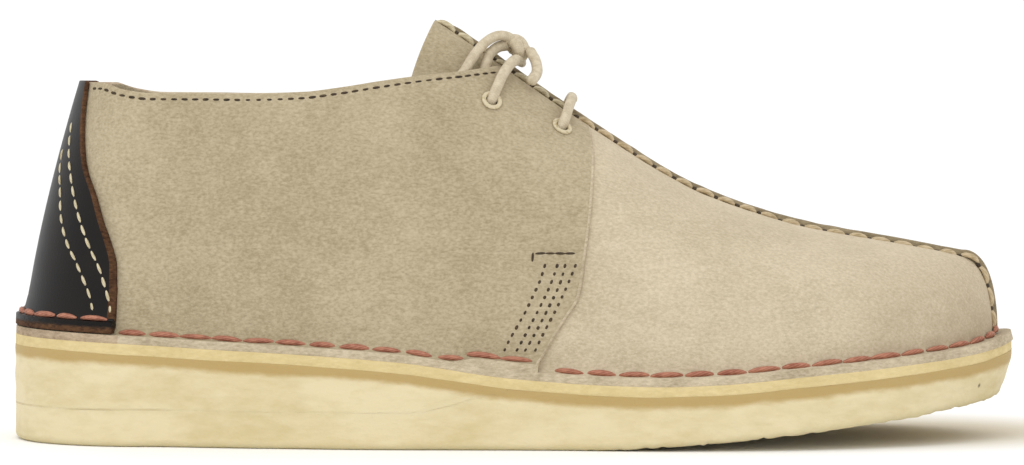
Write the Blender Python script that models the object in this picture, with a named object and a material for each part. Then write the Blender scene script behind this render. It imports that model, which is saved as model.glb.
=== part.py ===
"""A right crepe sole shoe, stitched down, as an assembly of separate pieces.

Metres, +Z up, +X to the toe, -Y to the outer side of the foot (the near side), origin on the
tread at half the length of the sole. Lengths along the shoe are measured from the back of the
heel, and place() moves them to the origin.

The upper's pieces all come from one function, last_form(), the true shape of the last: it takes a
station round the shoe (0 back of the heel, 1 and 2 the ends of the straight sides, 3 tip of the
toe), a rise (0 at the feather line, 1 at the crest) and a swell, the distance outward from the
form. A shell lies between two swells, so neighbours keep their clearance everywhere.
"""

import math

import bmesh
import bpy
import numpy as np

# Sizes that drive the shoe
SOLE_LENGTH = 0.304
BALL_WIDTH = 0.107
HEEL_STACK = 0.0286
COLLAR_BACK_HEIGHT = 0.1075
INSTEP_HEIGHT = 0.8735 * COLLAR_BACK_HEIGHT

# Sole
TREAD_SHEET = 0.392 * HEEL_STACK
MIDSOLE_THICKNESS = 0.0022
TOE_SPRING = 0.0444 * SOLE_LENGTH
SPRING_START = 0.566 * SOLE_LENGTH
SPRING_CURVE = 1.45
HEEL_ROUND = 0.13816 * SOLE_LENGTH
TOE_ROUND = 0.24671 * SOLE_LENGTH
WEDGE_LENGTH = 0.49342 * SOLE_LENGTH
WEDGE_FEATHER_START = 0.8 * WEDGE_LENGTH
SOLE_EDGE_ROUND = 0.0015
MIDSOLE_INSET = 0.0003

# Last
FLANGE_WIDTH = 0.0060
ARCH_FULLNESS = 2.25
HEEL_LEAN = 0.0546 * SOLE_LENGTH
LEAN_CURVE = 1.33
CREST_TIP = 0.95066 * SOLE_LENGTH
CREST_TIP_SLOPE = 0.55

# Upper
VAMP_WALL = 0.0024
QUARTER_WALL = 0.0024
QUARTER_STEP = 0.0014
FLANGE_THICKNESS = 0.0028
FLANGE_OVERLAP = 0.0024
CORNER_RADIUS = 0.0010
FIRST_RISE = 0.03
COUNTER_FIRST_RISE = 0.055
THROAT_GAP = 0.09813 * BALL_WIDTH
VAMP_FOOT_START = 0.43421 * SOLE_LENGTH
VAMP_CREST_START = 0.55592 * SOLE_LENGTH
FLANGE_CLIMB_START = 0.38816 * SOLE_LENGTH
FLANGE_CLIMB_END = 0.46711 * SOLE_LENGTH
FRONT_EDGE_FOOT = 0.52270 * SOLE_LENGTH
FRONT_EDGE_TOP = 0.57434 * SOLE_LENGTH
FRONT_LEAN_START = 0.34461 * SOLE_LENGTH
COLLAR_CORNER = 0.48355 * SOLE_LENGTH
RIDGE_WIDTH = 0.0034
RIDGE_HEIGHT = 0.0016
RIDGE_ROOT = 0.0010
RIDGE_CHAMFER = 0.0005
RIDGE_LAST_RISE = 0.02
SEAM_SETBACK = 0.0006

# Counter, tongue, insole
COUNTER_WALL = 0.0013
COUNTER_FLANGE = 0.0034
TONGUE_WALL = 0.0020
TONGUE_TUCK = 0.0090
TONGUE_TUCK_START = 0.0280 * BALL_WIDTH
TONGUE_TUCK_END = 0.1900 * BALL_WIDTH
TONGUE_HALF_WIDTH = 0.25234 * BALL_WIDTH
TONGUE_TIP = 0.42007 * SOLE_LENGTH
TONGUE_EDGE_SLANT = 0.02961 * SOLE_LENGTH
INSOLE_THICKNESS = 0.0025
INSOLE_CLEARANCE = 0.0009

# Eyelets and lace
EYELET_HOLE_RADIUS = 0.0020
EYELET_BARREL_RADIUS = 0.0026
EYELET_FLANGE_RADIUS = 0.0038
EYELET_RIM = 0.0007
EYELET_CLEARANCE = 0.0004
EYELET_SETBACK = 0.0002
CUTTER_DEPTH = 0.014
LACE_RADIUS = 0.0018
LACE_LIFT_AT_EYELET = 0.0036
LACE_LIFT_ARCH = 0.0014
LACE_SEAT_SHARE = 0.5

CLEARANCE = 0.0003

# Plan of the sole: length share, centre line share and half width share of the ball width
PLAN = (
    (0.000, 0.000, 0.352),
    (0.140, 0.000, 0.355),
    (0.240, -0.028, 0.374),
    (0.385, -0.065, 0.388),
    (0.526, -0.042, 0.425),
    (0.658, -0.014, 0.491),
    (0.730, 0.000, 0.500),
    (0.822, 0.023, 0.491),
    (1.000, 0.061, 0.462),
)

# Top of the crepe along the sole: length share, height share of the heel stack
SOLE_LINE = (
    (0.000, 1.012),
    (0.106, 0.968),
    (0.195, 0.917),
    (0.292, 0.866),
    (0.389, 0.792),
    (0.428, 0.736),
    (0.466, 0.672),
    (0.505, 0.624),
    (0.582, 0.570),
    (0.640, 0.556),
    (0.697, 0.575),
    (0.774, 0.648),
    (0.853, 0.720),
    (0.946, 0.820),
    (1.000, 0.890),
)

# Crest of the form: length share, height share of the instep; behind the throat it is only the
# point that the quarters lean towards
CREST = (
    (0.000, 1.610),
    (0.148, 1.600),
    (0.247, 1.555),
    (0.345, 1.462),
    (0.421, 1.350),
    (0.462, 1.262),
    (0.577, 1.003),
    (0.687, 0.792),
    (0.787, 0.685),
    (0.888, 0.624),
    (0.947, 0.588),
    (1.000, 0.560),
)

# Centre seam seen from above: length share, side share of the ball width
CREST_SIDE = ((0.000, 0.000), (0.480, 0.000), (0.730, 0.022), (1.000, 0.061))

# Collar line: length share, height share of its height at the back
COLLAR = (
    (0.065, 1.002),
    (0.100, 0.984),
    (0.145, 0.974),
    (0.194, 0.973),
    (0.240, 0.971),
    (0.289, 0.975),
    (0.329, 0.988),
    (0.368, 1.005),
    (0.408, 1.020),
    (0.444, 1.031),
    (0.484, 1.042),
    (0.600, 1.060),
)

# Lean of the quarters' front edge: height share of the wall, share of the whole lean
FRONT_EDGE = ((0.00, 0.00), (0.11, 0.25), (0.20, 0.50), (0.30, 0.77), (0.45, 0.88), (0.67, 1.00),
              (0.86, 1.04), (1.00, 0.97))

# Counter's front edge: height share of the counter, share of a quarter turn from the side
COUNTER_EDGE = ((0.00, 0.145), (0.10, 0.150), (0.20, 0.190), (0.29, 0.245), (0.40, 0.310),
                (0.54, 0.430), (0.70, 0.520), (0.86, 0.590), (1.00, 0.640))

# Eyelets: name, length share, distance from the centre seam as a share of the ball width, and how
# far forward the lace's middle lies, as a length share
EYELETS = (("upper", 0.4755, 0.210, 0.0263), ("lower", 0.5440, 0.182, 0.0066))

# Lace loop and short end, chosen by hand: shares of the length, the ball width and the instep. The
# loop lies on the tongue, and its bight hangs in the pocket between the tongue and the near quarter
LACE_LOOP_OUTER = (
    (0.4924, -0.0692, 1.2950), (0.4836, -0.0860, 1.2950), (0.4711, -0.1065, 1.2769),
    (0.4586, -0.1224, 1.2492), (0.4487, -0.1346, 1.2162),
)
# Length share, distance from the centre seam as a share of the ball width, swell
LACE_BIGHT = (
    (0.4370, 0.1640, -0.0032), (0.4270, 0.1960, -0.0043), (0.4215, 0.2230, -0.0048),
    (0.4260, 0.2460, -0.0050), (0.4400, 0.2580, -0.0050), (0.4560, 0.2560, -0.0050),
    (0.4680, 0.2380, -0.0048), (0.4715, 0.2100, -0.0046), (0.4710, 0.1780, -0.0048),
    (0.4695, 0.1480, -0.0049),
)
LACE_LOOP_INNER = (
    (0.4717, -0.1103, 1.2236), (0.4760, -0.0897, 1.2492), (0.4829, -0.0673, 1.2662),
    (0.4905, -0.0467, 1.2694),
)
LACE_END = (
    (0.5155, -0.0636, 1.2492), (0.5207, -0.0860, 1.2162), (0.5217, -0.1196, 1.1821),
    (0.5164, -0.1523, 1.1555),
)
LACE_KNOT_PLACE = (0.5056, -0.0327, 1.2630)
LACE_KNOT_SIZE = (0.0056, 0.0100, 0.0060)

# How finely the forms are sampled
SIDE_COLUMNS = 13
HEEL_COLUMNS = 9
THROAT_COLUMNS = 7
TOE_COLUMNS = 9
WALL_ROWS = 12
TONGUE_ROWS = 9
SOLE_HEEL_STATIONS = 8
SOLE_SIDE_STATIONS = 18
SOLE_TOE_STATIONS = 10
RIM_STEPS = 12
LEAST_STATION_GAP = 0.3
STEP = 1e-3

COLORS = {
    "crepe": ((0.76, 0.65, 0.40), 0.65),
    "midsole": ((0.86, 0.79, 0.50), 0.60),
    "suede": ((0.60, 0.52, 0.39), 0.95),
    "counter": ((0.02, 0.02, 0.02), 0.45),
    "leather": ((0.55, 0.42, 0.28), 0.60),
    "rim": ((0.74, 0.66, 0.50), 0.40),
    "lace": ((0.78, 0.71, 0.60), 0.80),
}


def through(table, column, x):
    """The value of a table's column at x: a smooth curve through its rows, without overshoot."""
    xs = [row[0] for row in table]
    ys = [row[column] for row in table]
    x = min(max(x, xs[0]), xs[-1])
    rises = [(ys[i + 1] - ys[i]) / (xs[i + 1] - xs[i]) for i in range(len(xs) - 1)]
    slopes = [rises[0]]
    for before, after in zip(rises, rises[1:]):
        flat = before * after <= 0
        slopes.append(0.0 if flat else 2 * before * after / (before + after))
    slopes.append(rises[-1])
    i = max(k for k in range(len(rises)) if xs[k] <= x)
    width = xs[i + 1] - xs[i]
    t = (x - xs[i]) / width
    return (
        (1 + 2 * t) * (1 - t) ** 2 * ys[i]
        + t * (1 - t) ** 2 * width * slopes[i]
        + t * t * (3 - 2 * t) * ys[i + 1]
        + t * t * (t - 1) * width * slopes[i + 1]
    )


def soft_step(value, start, end):
    """0 before start, 1 after end, smooth between them."""
    t = min(max((value - start) / (end - start), 0.0), 1.0)
    return t * t * (3 - 2 * t)


def centre_line(x):
    return BALL_WIDTH * through(PLAN, 1, x / SOLE_LENGTH)


def half_width(x):
    return BALL_WIDTH * through(PLAN, 2, x / SOLE_LENGTH)


def sole_line(x):
    """Height of the crepe's top face."""
    return HEEL_STACK * through(SOLE_LINE, 1, x / SOLE_LENGTH)


def tread(x):
    """Height of the crepe's bottom face: flat, then the toe spring."""
    share = max(x - SPRING_START, 0.0) / (SOLE_LENGTH - SPRING_START)
    return TOE_SPRING * share**SPRING_CURVE


def sheet_line(x):
    """Top of the outsole: the tread sheet under the wedge, and the sole line in front of it."""
    if x > WEDGE_LENGTH:
        return sole_line(x)
    rest = soft_step(x, WEDGE_FEATHER_START, WEDGE_LENGTH)
    end = sole_line(WEDGE_LENGTH) - 4 * CLEARANCE
    return TREAD_SHEET + rest * (end - TREAD_SHEET)


def midsole_top(x):
    return sole_line(x) + CLEARANCE + MIDSOLE_THICKNESS


def vamp_flange_top(x):
    return midsole_top(x) + CLEARANCE + FLANGE_THICKNESS


def quarter_flange_top(x):
    """The quarters' flange climbs onto the vamp's flange."""
    return vamp_flange_top(x) + FLANGE_OVERLAP * soft_step(x, FLANGE_CLIMB_START, FLANGE_CLIMB_END)


def crest_height(x):
    return INSTEP_HEIGHT * through(CREST, 1, x / SOLE_LENGTH)


def crest_side(x):
    return BALL_WIDTH * through(CREST_SIDE, 1, x / SOLE_LENGTH)


def collar_height(x):
    return COLLAR_BACK_HEIGHT * through(COLLAR, 1, x / SOLE_LENGTH)


def station_at(x):
    """The station of a point on the straight sides, or the heel, at this feather-line length."""
    if x < HEEL_ROUND:
        reach = HEEL_ROUND - FLANGE_WIDTH
        return math.acos(min((HEEL_ROUND - x) / reach, 1.0)) * 2 / math.pi
    return 1 + (x - HEEL_ROUND) / (SOLE_LENGTH - TOE_ROUND - HEEL_ROUND)


def outline(station, side, inset):
    """A point of the sole's plan, moved inward by inset. side is -1 near and 1 far."""
    toe_start = SOLE_LENGTH - TOE_ROUND
    if station <= 1:
        angle = station * math.pi / 2
        x = HEEL_ROUND - (HEEL_ROUND - inset) * math.cos(angle)
        half = (half_width(HEEL_ROUND) - inset) * math.sin(angle)
        return x, centre_line(HEEL_ROUND) + side * half
    if station <= 2:
        x = HEEL_ROUND + (station - 1) * (toe_start - HEEL_ROUND)
        return x, centre_line(x) + side * (half_width(x) - inset)
    angle = (station - 2) * math.pi / 2
    x = toe_start + (TOE_ROUND - inset) * math.sin(angle)
    return x, centre_line(x) + side * (half_width(x) - inset) * math.cos(angle)


def crest_x(station, foot_x):
    """Where the section that starts at foot_x meets the crest: the toe's sections fan out."""
    if station <= 2:
        return foot_x
    start = SOLE_LENGTH - TOE_ROUND
    t = station - 2
    first = (TOE_ROUND - FLANGE_WIDTH) * math.pi / 2 / (CREST_TIP - start)
    share = first * t * (1 - t) ** 2 + t * t * (3 - 2 * t) - CREST_TIP_SLOPE * t * t * (1 - t)
    return start + (CREST_TIP - start) * share


def base_form(station, rise, side):
    angle = rise * math.pi / 2
    out = max(math.cos(angle), 0.0) ** (2 / ARCH_FULLNESS)
    up = math.sin(angle) ** (2 / ARCH_FULLNESS)
    foot_x, foot_y = outline(station, side, FLANGE_WIDTH)
    top_x = crest_x(station, foot_x)
    base = vamp_flange_top(foot_x)
    height = base + (crest_height(top_x) - base) * up
    if station > 1:
        top_y = crest_side(top_x)
        return np.array((top_x + (foot_x - top_x) * out, top_y + (foot_y - top_y) * out, height))
    share = max(height - base, 0.0) / (COLLAR_BACK_HEIGHT - base)
    reach = HEEL_ROUND - FLANGE_WIDTH - HEEL_LEAN * share**LEAN_CURVE
    turn = station * math.pi / 2
    half = (half_width(HEEL_ROUND) - FLANGE_WIDTH) * math.sin(turn)
    return np.array((HEEL_ROUND - reach * math.cos(turn), side * half * out, height))


def side_normal(station, rise, side):
    """Unit normal of the form, from one side of it."""
    before, after = max(station - STEP, 0.0), min(station + STEP, 3.0)
    lower, upper = max(rise - STEP, 0.0), min(rise + STEP, 1.0)
    along = base_form(after, rise, side) - base_form(before, rise, side)
    across = base_form(station, upper, side) - base_form(station, lower, side)
    normal = -side * np.cross(along, across)
    return normal / np.linalg.norm(normal)


def outward(station, rise, side):
    """Unit normal of the form. Where its two sides meet, they share the middle one."""
    if station in (0, 3) or rise == 1:
        normal = side_normal(station, rise, -1) + side_normal(station, rise, 1)
        normal[1] = 0.0
        return normal / np.linalg.norm(normal)
    return side_normal(station, rise, side)


def last_form(station, rise, side, swell=0.0):
    return base_form(station, rise, side) + swell * outward(station, rise, side)


def rise_at_height(x, height):
    """The rise where the form reaches this height on the section at x."""
    base = vamp_flange_top(x)
    up = min(max((height - base) / (crest_height(x) - base), 0.0), 1.0)
    return math.asin(up ** (ARCH_FULLNESS / 2)) * 2 / math.pi


def rise_at_side(x, distance):
    """The rise where the form is this far from the centre seam on the section at x."""
    half = half_width(x) - FLANGE_WIDTH
    return math.acos(min(distance / half, 1.0) ** (ARCH_FULLNESS / 2)) * 2 / math.pi


def top_rise(x):
    """The top edge of the quarters: the collar, and in front of its corner the throat."""
    return min(rise_at_height(x, collar_height(x)), rise_at_side(x, THROAT_GAP))


def height_share(rise):
    return math.sin(rise * math.pi / 2) ** (2 / ARCH_FULLNESS)


def place(point):
    return (point[0] - SOLE_LENGTH / 2, point[1], point[2])


def material(kind):
    found = bpy.data.materials.get(kind)
    if found:
        return found
    made = bpy.data.materials.new(kind)
    made.use_nodes = True
    color, roughness = COLORS[kind]
    shader = made.node_tree.nodes["Principled BSDF"]
    shader.inputs["Base Color"].default_value = (*color, 1)
    shader.inputs["Roughness"].default_value = roughness
    shader.inputs["Metallic"].default_value = 0
    return made


def add_object(name, mesh, collection, kind):
    mesh.shade_smooth()
    mesh.set_sharp_from_angle(angle=math.radians(40))
    mesh.materials.append(material(kind))
    made = bpy.data.objects.new(name, mesh)
    collection.objects.link(made)
    return made


def mesh_from(name, build):
    """A mesh made by build(bm), with its seams welded and its faces turned outward."""
    bm = bmesh.new()
    build(bm)
    bmesh.ops.remove_doubles(bm, verts=bm.verts, dist=2e-6)
    bmesh.ops.dissolve_degenerate(bm, edges=bm.edges, dist=1e-6)
    bmesh.ops.recalc_face_normals(bm, faces=bm.faces)
    mesh = bpy.data.meshes.new(name)
    bm.to_mesh(mesh)
    bm.free()
    return mesh


def grid(bm, points, flip=False):
    """Vertices of a grid of points, joined by quads."""
    verts = [[bm.verts.new(place(point)) for point in column] for column in points]
    for left, right in zip(verts, verts[1:]):
        for k in range(len(left) - 1):
            corners = (left[k], right[k], right[k + 1], left[k + 1])
            bm.faces.new(corners[::-1] if flip else corners)
    return verts


def shell(name, outer, inner, closed_end=False):
    """A closed wall between two grids of columns. closed_end leaves the last column to weld."""

    def build(bm):
        outside = grid(bm, outer)
        inside = grid(bm, inner, flip=True)
        borders = [(outside[0], inside[0])]
        if not closed_end:
            borders.append((outside[-1], inside[-1]))
        borders.append(([c[0] for c in outside], [c[0] for c in inside]))
        borders.append(([c[-1] for c in outside], [c[-1] for c in inside]))
        for out, into in borders:
            for k in range(len(out) - 1):
                bm.faces.new((out[k], out[k + 1], into[k + 1], into[k]))

    return mesh_from(name, build)


def sole_stations():
    """Stations that every layer of the sole shares, with both sides of the wedge's end."""
    stations = list(np.linspace(0, 1, SOLE_HEEL_STATIONS, endpoint=False))
    stations += list(np.linspace(1, 2, SOLE_SIDE_STATIONS))
    stations += list(np.linspace(2, 3, SOLE_TOE_STATIONS + 1))[1:]
    ends = [station_at(WEDGE_LENGTH + gap) for gap in (-CLEARANCE, 0, CLEARANCE)]
    apart = LEAST_STATION_GAP / SOLE_SIDE_STATIONS
    kept = [s for s in stations if min(abs(s - end) for end in ends) > apart]
    return sorted(kept + ends)


def slab(name, low, high, rings, last_station=3.0):
    """A layer of the sole. rings holds (height share, inset) from its bottom to its top."""
    stations = [s for s in sole_stations() if s <= last_station]

    def ring_point(station, side, share, inset):
        x, y = outline(station, side, inset)
        return x, y, low(x) + share * (high(x) - low(x))

    def build(bm):
        sides = [
            grid(bm, [[ring_point(s, side, *ring) for ring in rings] for s in stations], side > 0)
            for side in (-1, 1)
        ]
        near, far = sides
        for i in range(len(stations) - 1):
            bm.faces.new((near[i][0], near[i + 1][0], far[i + 1][0], far[i][0]))
            bm.faces.new((near[i][-1], near[i + 1][-1], far[i + 1][-1], far[i][-1]))
        if last_station < 3:
            for k in range(len(rings) - 1):
                bm.faces.new((near[-1][k], near[-1][k + 1], far[-1][k + 1], far[-1][k]))

    return mesh_from(name, build)


def flange_points(station, side, top, swell):
    """The turned-out edge from the sole's edge to the wall, at the height of top."""
    points = []
    for inset in (MIDSOLE_INSET, FLANGE_WIDTH / 2, FLANGE_WIDTH - CORNER_RADIUS - swell):
        x, y = outline(station, side, inset)
        points.append((x, y, top(x)))
    return points


def vamp_columns():
    """The vamp's straight columns as (foot, lean), and its toe columns as stations."""
    columns = []
    for c in np.linspace(0, 1, SIDE_COLUMNS):
        foot = VAMP_FOOT_START + c * (SOLE_LENGTH - TOE_ROUND - VAMP_FOOT_START)
        top = VAMP_CREST_START + c * (SOLE_LENGTH - TOE_ROUND - VAMP_CREST_START)
        columns.append((foot, top - foot))
    return columns, [(2 + t, None) for t in np.linspace(0, 1, TOE_COLUMNS + 1)[1:]]


def vamp_rear(share):
    """Length of the vamp's rear border at a height share of the wall."""
    return VAMP_FOOT_START + share * (VAMP_CREST_START - VAMP_FOOT_START)


def vamp_grid(swell, flange_height):
    leaned, toe = vamp_columns()
    columns = []
    for foot, lean in leaned + toe:
        halves = []
        for side in (-1, 1):
            station = foot if lean is None else station_at(foot)
            points = flange_points(station, side, flange_height, swell)
            for k in range(WALL_ROWS + 1):
                rise = FIRST_RISE + (1 - FIRST_RISE) * k / WALL_ROWS
                if lean is not None:
                    station = station_at(foot + lean * height_share(rise))
                points.append(last_form(station, rise if k < WALL_ROWS else 1, side, swell))
            halves.append(points)
        columns.append(halves[0] + halves[1][-2::-1])
    return columns


def vamp_mesh():
    outer = vamp_grid(0, vamp_flange_top)
    inner = vamp_grid(-VAMP_WALL, lambda x: midsole_top(x) + CLEARANCE)
    return shell("upper", outer, inner, closed_end=True)


def quarter_columns():
    """(side, top length) round the shoe, from the near front edge to the far one."""
    throat = list(np.linspace(FRONT_EDGE_TOP, COLLAR_CORNER, THROAT_COLUMNS))
    side = list(np.linspace(COLLAR_CORNER, HEEL_ROUND, SIDE_COLUMNS))[1:]
    near = [(-1, x) for x in throat + side]
    heel = [(-1, None, t) for t in np.linspace(1, 0, HEEL_COLUMNS + 1)[1:]]
    far_heel = [(1, None, t) for t in np.linspace(0, 1, HEEL_COLUMNS + 1)[1:-1]]
    return near + heel + far_heel + [(1, x) for x in reversed(throat + side)]


def quarter_grid(swell, lower):
    lean_end = FRONT_EDGE_TOP - FRONT_EDGE_FOOT
    columns = []
    for side, top, *turn in quarter_columns():
        if top is None:
            station = turn[0]
            foot = outline(station, side, FLANGE_WIDTH)[0]
            top_station, lean = foot, 0.0
        else:
            lean = lean_end * soft_step(top, FRONT_LEAN_START, FRONT_EDGE_TOP)
            foot, top_station = top - lean, top
            station = station_at(foot)

        def flange_height(x):
            return quarter_flange_top(x) - lower

        points = flange_points(station, side, flange_height, swell)
        first = rise_at_height(foot, quarter_flange_top(foot)) + FIRST_RISE
        last = top_rise(top_station)
        for k in range(WALL_ROWS + 1):
            rise = first + (last - first) * k / WALL_ROWS
            if lean:
                station = station_at(foot + lean * through(FRONT_EDGE, 1, height_share(rise)))
            points.append(last_form(station, rise, side, swell))
        columns.append(points)
    return columns


def quarter_mesh():
    outer = quarter_grid(QUARTER_STEP, 0)
    inner = quarter_grid(QUARTER_STEP - QUARTER_WALL, FLANGE_THICKNESS)
    return shell("quarters", outer, inner)


def ridge_mesh(name, path):
    """The raised seam: a chamfered strip along (point, outward normal) pairs."""
    half, root, top = RIDGE_WIDTH / 2, -RIDGE_ROOT, RIDGE_HEIGHT
    chamfer = RIDGE_CHAMFER
    profile = ((-half, root), (-half, top - chamfer), (-half + chamfer, top),
               (half - chamfer, top), (half, top - chamfer), (half, root))

    def build(bm):
        rings = []
        for point, normal in path:
            ring = [np.array(point) + (0, y, 0) + up * np.array(normal) for y, up in profile]
            rings.append([bm.verts.new(place(corner)) for corner in ring])
        for a, b in zip(rings, rings[1:]):
            for k in range(len(profile)):
                n = (k + 1) % len(profile)
                bm.faces.new((a[k], b[k], b[n], a[n]))
        bm.faces.new(rings[0])
        bm.faces.new(rings[-1])

    return mesh_from(name, build)


def vamp_ridge_path():
    stations = [station_at(x) for x in
                np.linspace(VAMP_CREST_START + SEAM_SETBACK, SOLE_LENGTH - TOE_ROUND,
                            SIDE_COLUMNS)]
    stations += list(np.linspace(2, 3, TOE_COLUMNS + 1))[1:]
    path = [(last_form(s, 1, -1), outward(s, 1, -1)) for s in stations]
    for rise in np.linspace(1, RIDGE_LAST_RISE, WALL_ROWS)[1:]:
        path.append((last_form(3, rise, -1), outward(3, rise, -1)))
    return path


def tongue_swell(distance):
    return -TONGUE_TUCK * soft_step(distance, TONGUE_TUCK_START, TONGUE_TUCK_END)


def tongue_grid(swell):
    columns = []
    distances = np.linspace(-TONGUE_HALF_WIDTH, TONGUE_HALF_WIDTH, 2 * TONGUE_ROWS + 1)
    for c in np.linspace(0, 1, THROAT_COLUMNS + 4):
        column = []
        for distance in distances:
            near = abs(distance)
            rise = rise_at_side(VAMP_CREST_START, near)
            front = vamp_rear(height_share(rise)) - 2 * CLEARANCE
            rear = TONGUE_TIP - TONGUE_EDGE_SLANT * (near / TONGUE_HALF_WIDTH) ** 2
            x = front + c * (rear - front)
            rise = rise_at_side(x, near)
            side = -1 if distance <= 0 else 1
            station = station_at(x)
            column.append(last_form(station, rise, side, swell + tongue_swell(near)))
        columns.append(column)
    return columns


def tongue_ridge_path():
    xs = np.linspace(VAMP_CREST_START - SEAM_SETBACK - 2 * CLEARANCE, TONGUE_TIP + SEAM_SETBACK,
                     THROAT_COLUMNS + 4)
    return [(last_form(station_at(x), 1, -1), outward(station_at(x), 1, -1)) for x in xs]


def counter_grid(swell, lower):
    """Columns round the heel from the near front edge to the far one."""
    columns = []
    shares = [(-1, t) for t in np.linspace(0, 1, HEEL_COLUMNS + 1)]
    shares += [(1, t) for t in np.linspace(1, 0, HEEL_COLUMNS + 1)][1:]
    for side, share in shares:
        points = []
        station = (1 - through(COUNTER_EDGE, 1, 0)) * (1 - share)
        for inset in (MIDSOLE_INSET, FLANGE_WIDTH - CORNER_RADIUS - swell):
            x, y = outline(station, side, inset)
            points.append((x, y, quarter_flange_top(x) + CLEARANCE + COUNTER_FLANGE - lower))
        for k in range(WALL_ROWS + 1):
            t = k / WALL_ROWS
            station = (1 - through(COUNTER_EDGE, 1, t)) * (1 - share)
            foot = outline(station, side, FLANGE_WIDTH)[0]
            last = rise_at_height(foot, collar_height(foot))
            rise = COUNTER_FIRST_RISE + (last - COUNTER_FIRST_RISE) * t
            points.append(last_form(station, rise, side, swell))
        columns.append(points)
    return columns


def eyelet_frame(x_share, side_share, side, swell):
    """Centre and outward normal of an eyelet on the form."""
    x = x_share * SOLE_LENGTH
    rise = rise_at_side(x, side_share * BALL_WIDTH)
    station = station_at(x)
    return last_form(station, rise, side, swell), outward(station, rise, side)


def aim(obj, point, normal):
    """Put an object's origin at point with its Z along normal."""
    up = np.array((0.0, 1.0, 0.0))
    right = np.cross(up, normal)
    right /= np.linalg.norm(right)
    ahead = np.cross(normal, right)
    moved = place(point)
    for row in range(3):
        obj.matrix_world[row][0] = right[row]
        obj.matrix_world[row][1] = ahead[row]
        obj.matrix_world[row][2] = normal[row]
        obj.matrix_world[row][3] = moved[row]


def eyelet_ring(name, collection, point, normal, depth):
    """A turned ring: a rounded rim on the quarter and a barrel down through it."""
    profile = (
        (EYELET_HOLE_RADIUS, EYELET_RIM * 0.7),
        (EYELET_HOLE_RADIUS, -depth),
        (EYELET_BARREL_RADIUS, -depth),
        (EYELET_BARREL_RADIUS, 0.0),
        (EYELET_FLANGE_RADIUS, 0.0),
        (EYELET_FLANGE_RADIUS, EYELET_RIM * 0.4),
        ((EYELET_FLANGE_RADIUS + EYELET_HOLE_RADIUS) / 2, EYELET_RIM),
    )

    def build(bm):
        rings = []
        for step in range(RIM_STEPS):
            turn = 2 * math.pi * step / RIM_STEPS
            c, s = math.cos(turn), math.sin(turn)
            rings.append([bm.verts.new((r * c, r * s, z)) for r, z in profile])
        for a, b in zip(rings, rings[1:] + rings[:1]):
            for k in range(len(profile)):
                n = (k + 1) % len(profile)
                bm.faces.new((a[k], b[k], b[n], a[n]))

    ring = add_object(name, mesh_from(name, build), collection, "rim")
    aim(ring, point, normal)
    return ring


def hole_cutter(name, collection, point, normal):
    bpy.ops.mesh.primitive_cylinder_add(
        vertices=RIM_STEPS, radius=EYELET_BARREL_RADIUS + EYELET_CLEARANCE,
        depth=CUTTER_DEPTH
    )
    cutter = bpy.context.object
    cutter.name = name
    for holder in list(cutter.users_collection):
        holder.objects.unlink(cutter)
    collection.objects.link(cutter)
    hide(cutter)
    aim(cutter, point, normal)
    return cutter


def hide(helper):
    helper.hide_render = True
    helper.display_type = "WIRE"


def boolean(obj, other, operation):
    modifier = obj.modifiers.new(f"{operation.lower()} {other.name}", "BOOLEAN")
    modifier.operation = operation
    modifier.object = other


def smooth_path(points, spacing):
    """Points along a smooth curve through the given ones, about spacing apart."""
    points = [np.array(p, float) for p in points]
    ends = [2 * points[0] - points[1], *points, 2 * points[-1] - points[-2]]
    path = []
    for a, b, c, d in zip(ends, ends[1:], ends[2:], ends[3:]):
        count = max(1, round(float(np.linalg.norm(c - b)) / spacing))
        for k in range(count):
            t = k / count
            path.append(0.5 * (2 * b + (c - a) * t + (2 * a - 5 * b + 4 * c - d) * t * t
                               + (3 * b - a - 3 * c + d) * t**3))
    return path + [points[-1]]


def lace(name, collection, points):
    """A cord along the points, as a POLY spline with a round bevel and filled caps."""
    path = smooth_path(points, 2.2 * LACE_RADIUS)
    curve = bpy.data.curves.new(name, "CURVE")
    curve.dimensions = "3D"
    curve.bevel_depth = LACE_RADIUS
    curve.bevel_resolution = 2
    curve.use_fill_caps = True
    spline = curve.splines.new("POLY")
    spline.points.add(len(path) - 1)
    for slot, point in zip(spline.points, path):
        slot.co = (*place(point), 1)
    curve.materials.append(material("lace"))
    made = bpy.data.objects.new(name, curve)
    collection.objects.link(made)
    return made


def lace_bar(name, collection, eyelet):
    """The lace from the near eyelet over the seam to the far one."""
    _, x_share, side_share, forward_share = eyelet
    points = []
    for share in (-1.0, -0.85, -0.6, -0.3, 0.0, 0.3, 0.6, 0.85, 1.0):
        distance = abs(share) * side_share * BALL_WIDTH
        at = SOLE_LENGTH * (x_share + forward_share * (1 - abs(share)))
        side = -1 if share <= 0 else 1
        lift = QUARTER_STEP + LACE_LIFT_AT_EYELET + LACE_LIFT_ARCH * (1 - abs(share) ** 4)
        if abs(share) < LACE_SEAT_SHARE:
            lift = RIDGE_HEIGHT + LACE_RADIUS + CLEARANCE * 1.5
        points.append(last_form(station_at(at), rise_at_side(at, distance), side, lift))
    return lace(name, collection, points)


def in_shares(point):
    """A point given as shares of the length, the ball width and the instep."""
    return point[0] * SOLE_LENGTH, point[1] * BALL_WIDTH, point[2] * INSTEP_HEIGHT


def lace_bight():
    """The loop's far bend, in the pocket between the tongue and the near quarter."""
    points = []
    for x_share, side_share, swell in LACE_BIGHT:
        x = x_share * SOLE_LENGTH
        rise = rise_at_side(x, side_share * BALL_WIDTH)
        points.append(last_form(station_at(x), rise, -1, swell))
    return points


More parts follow.
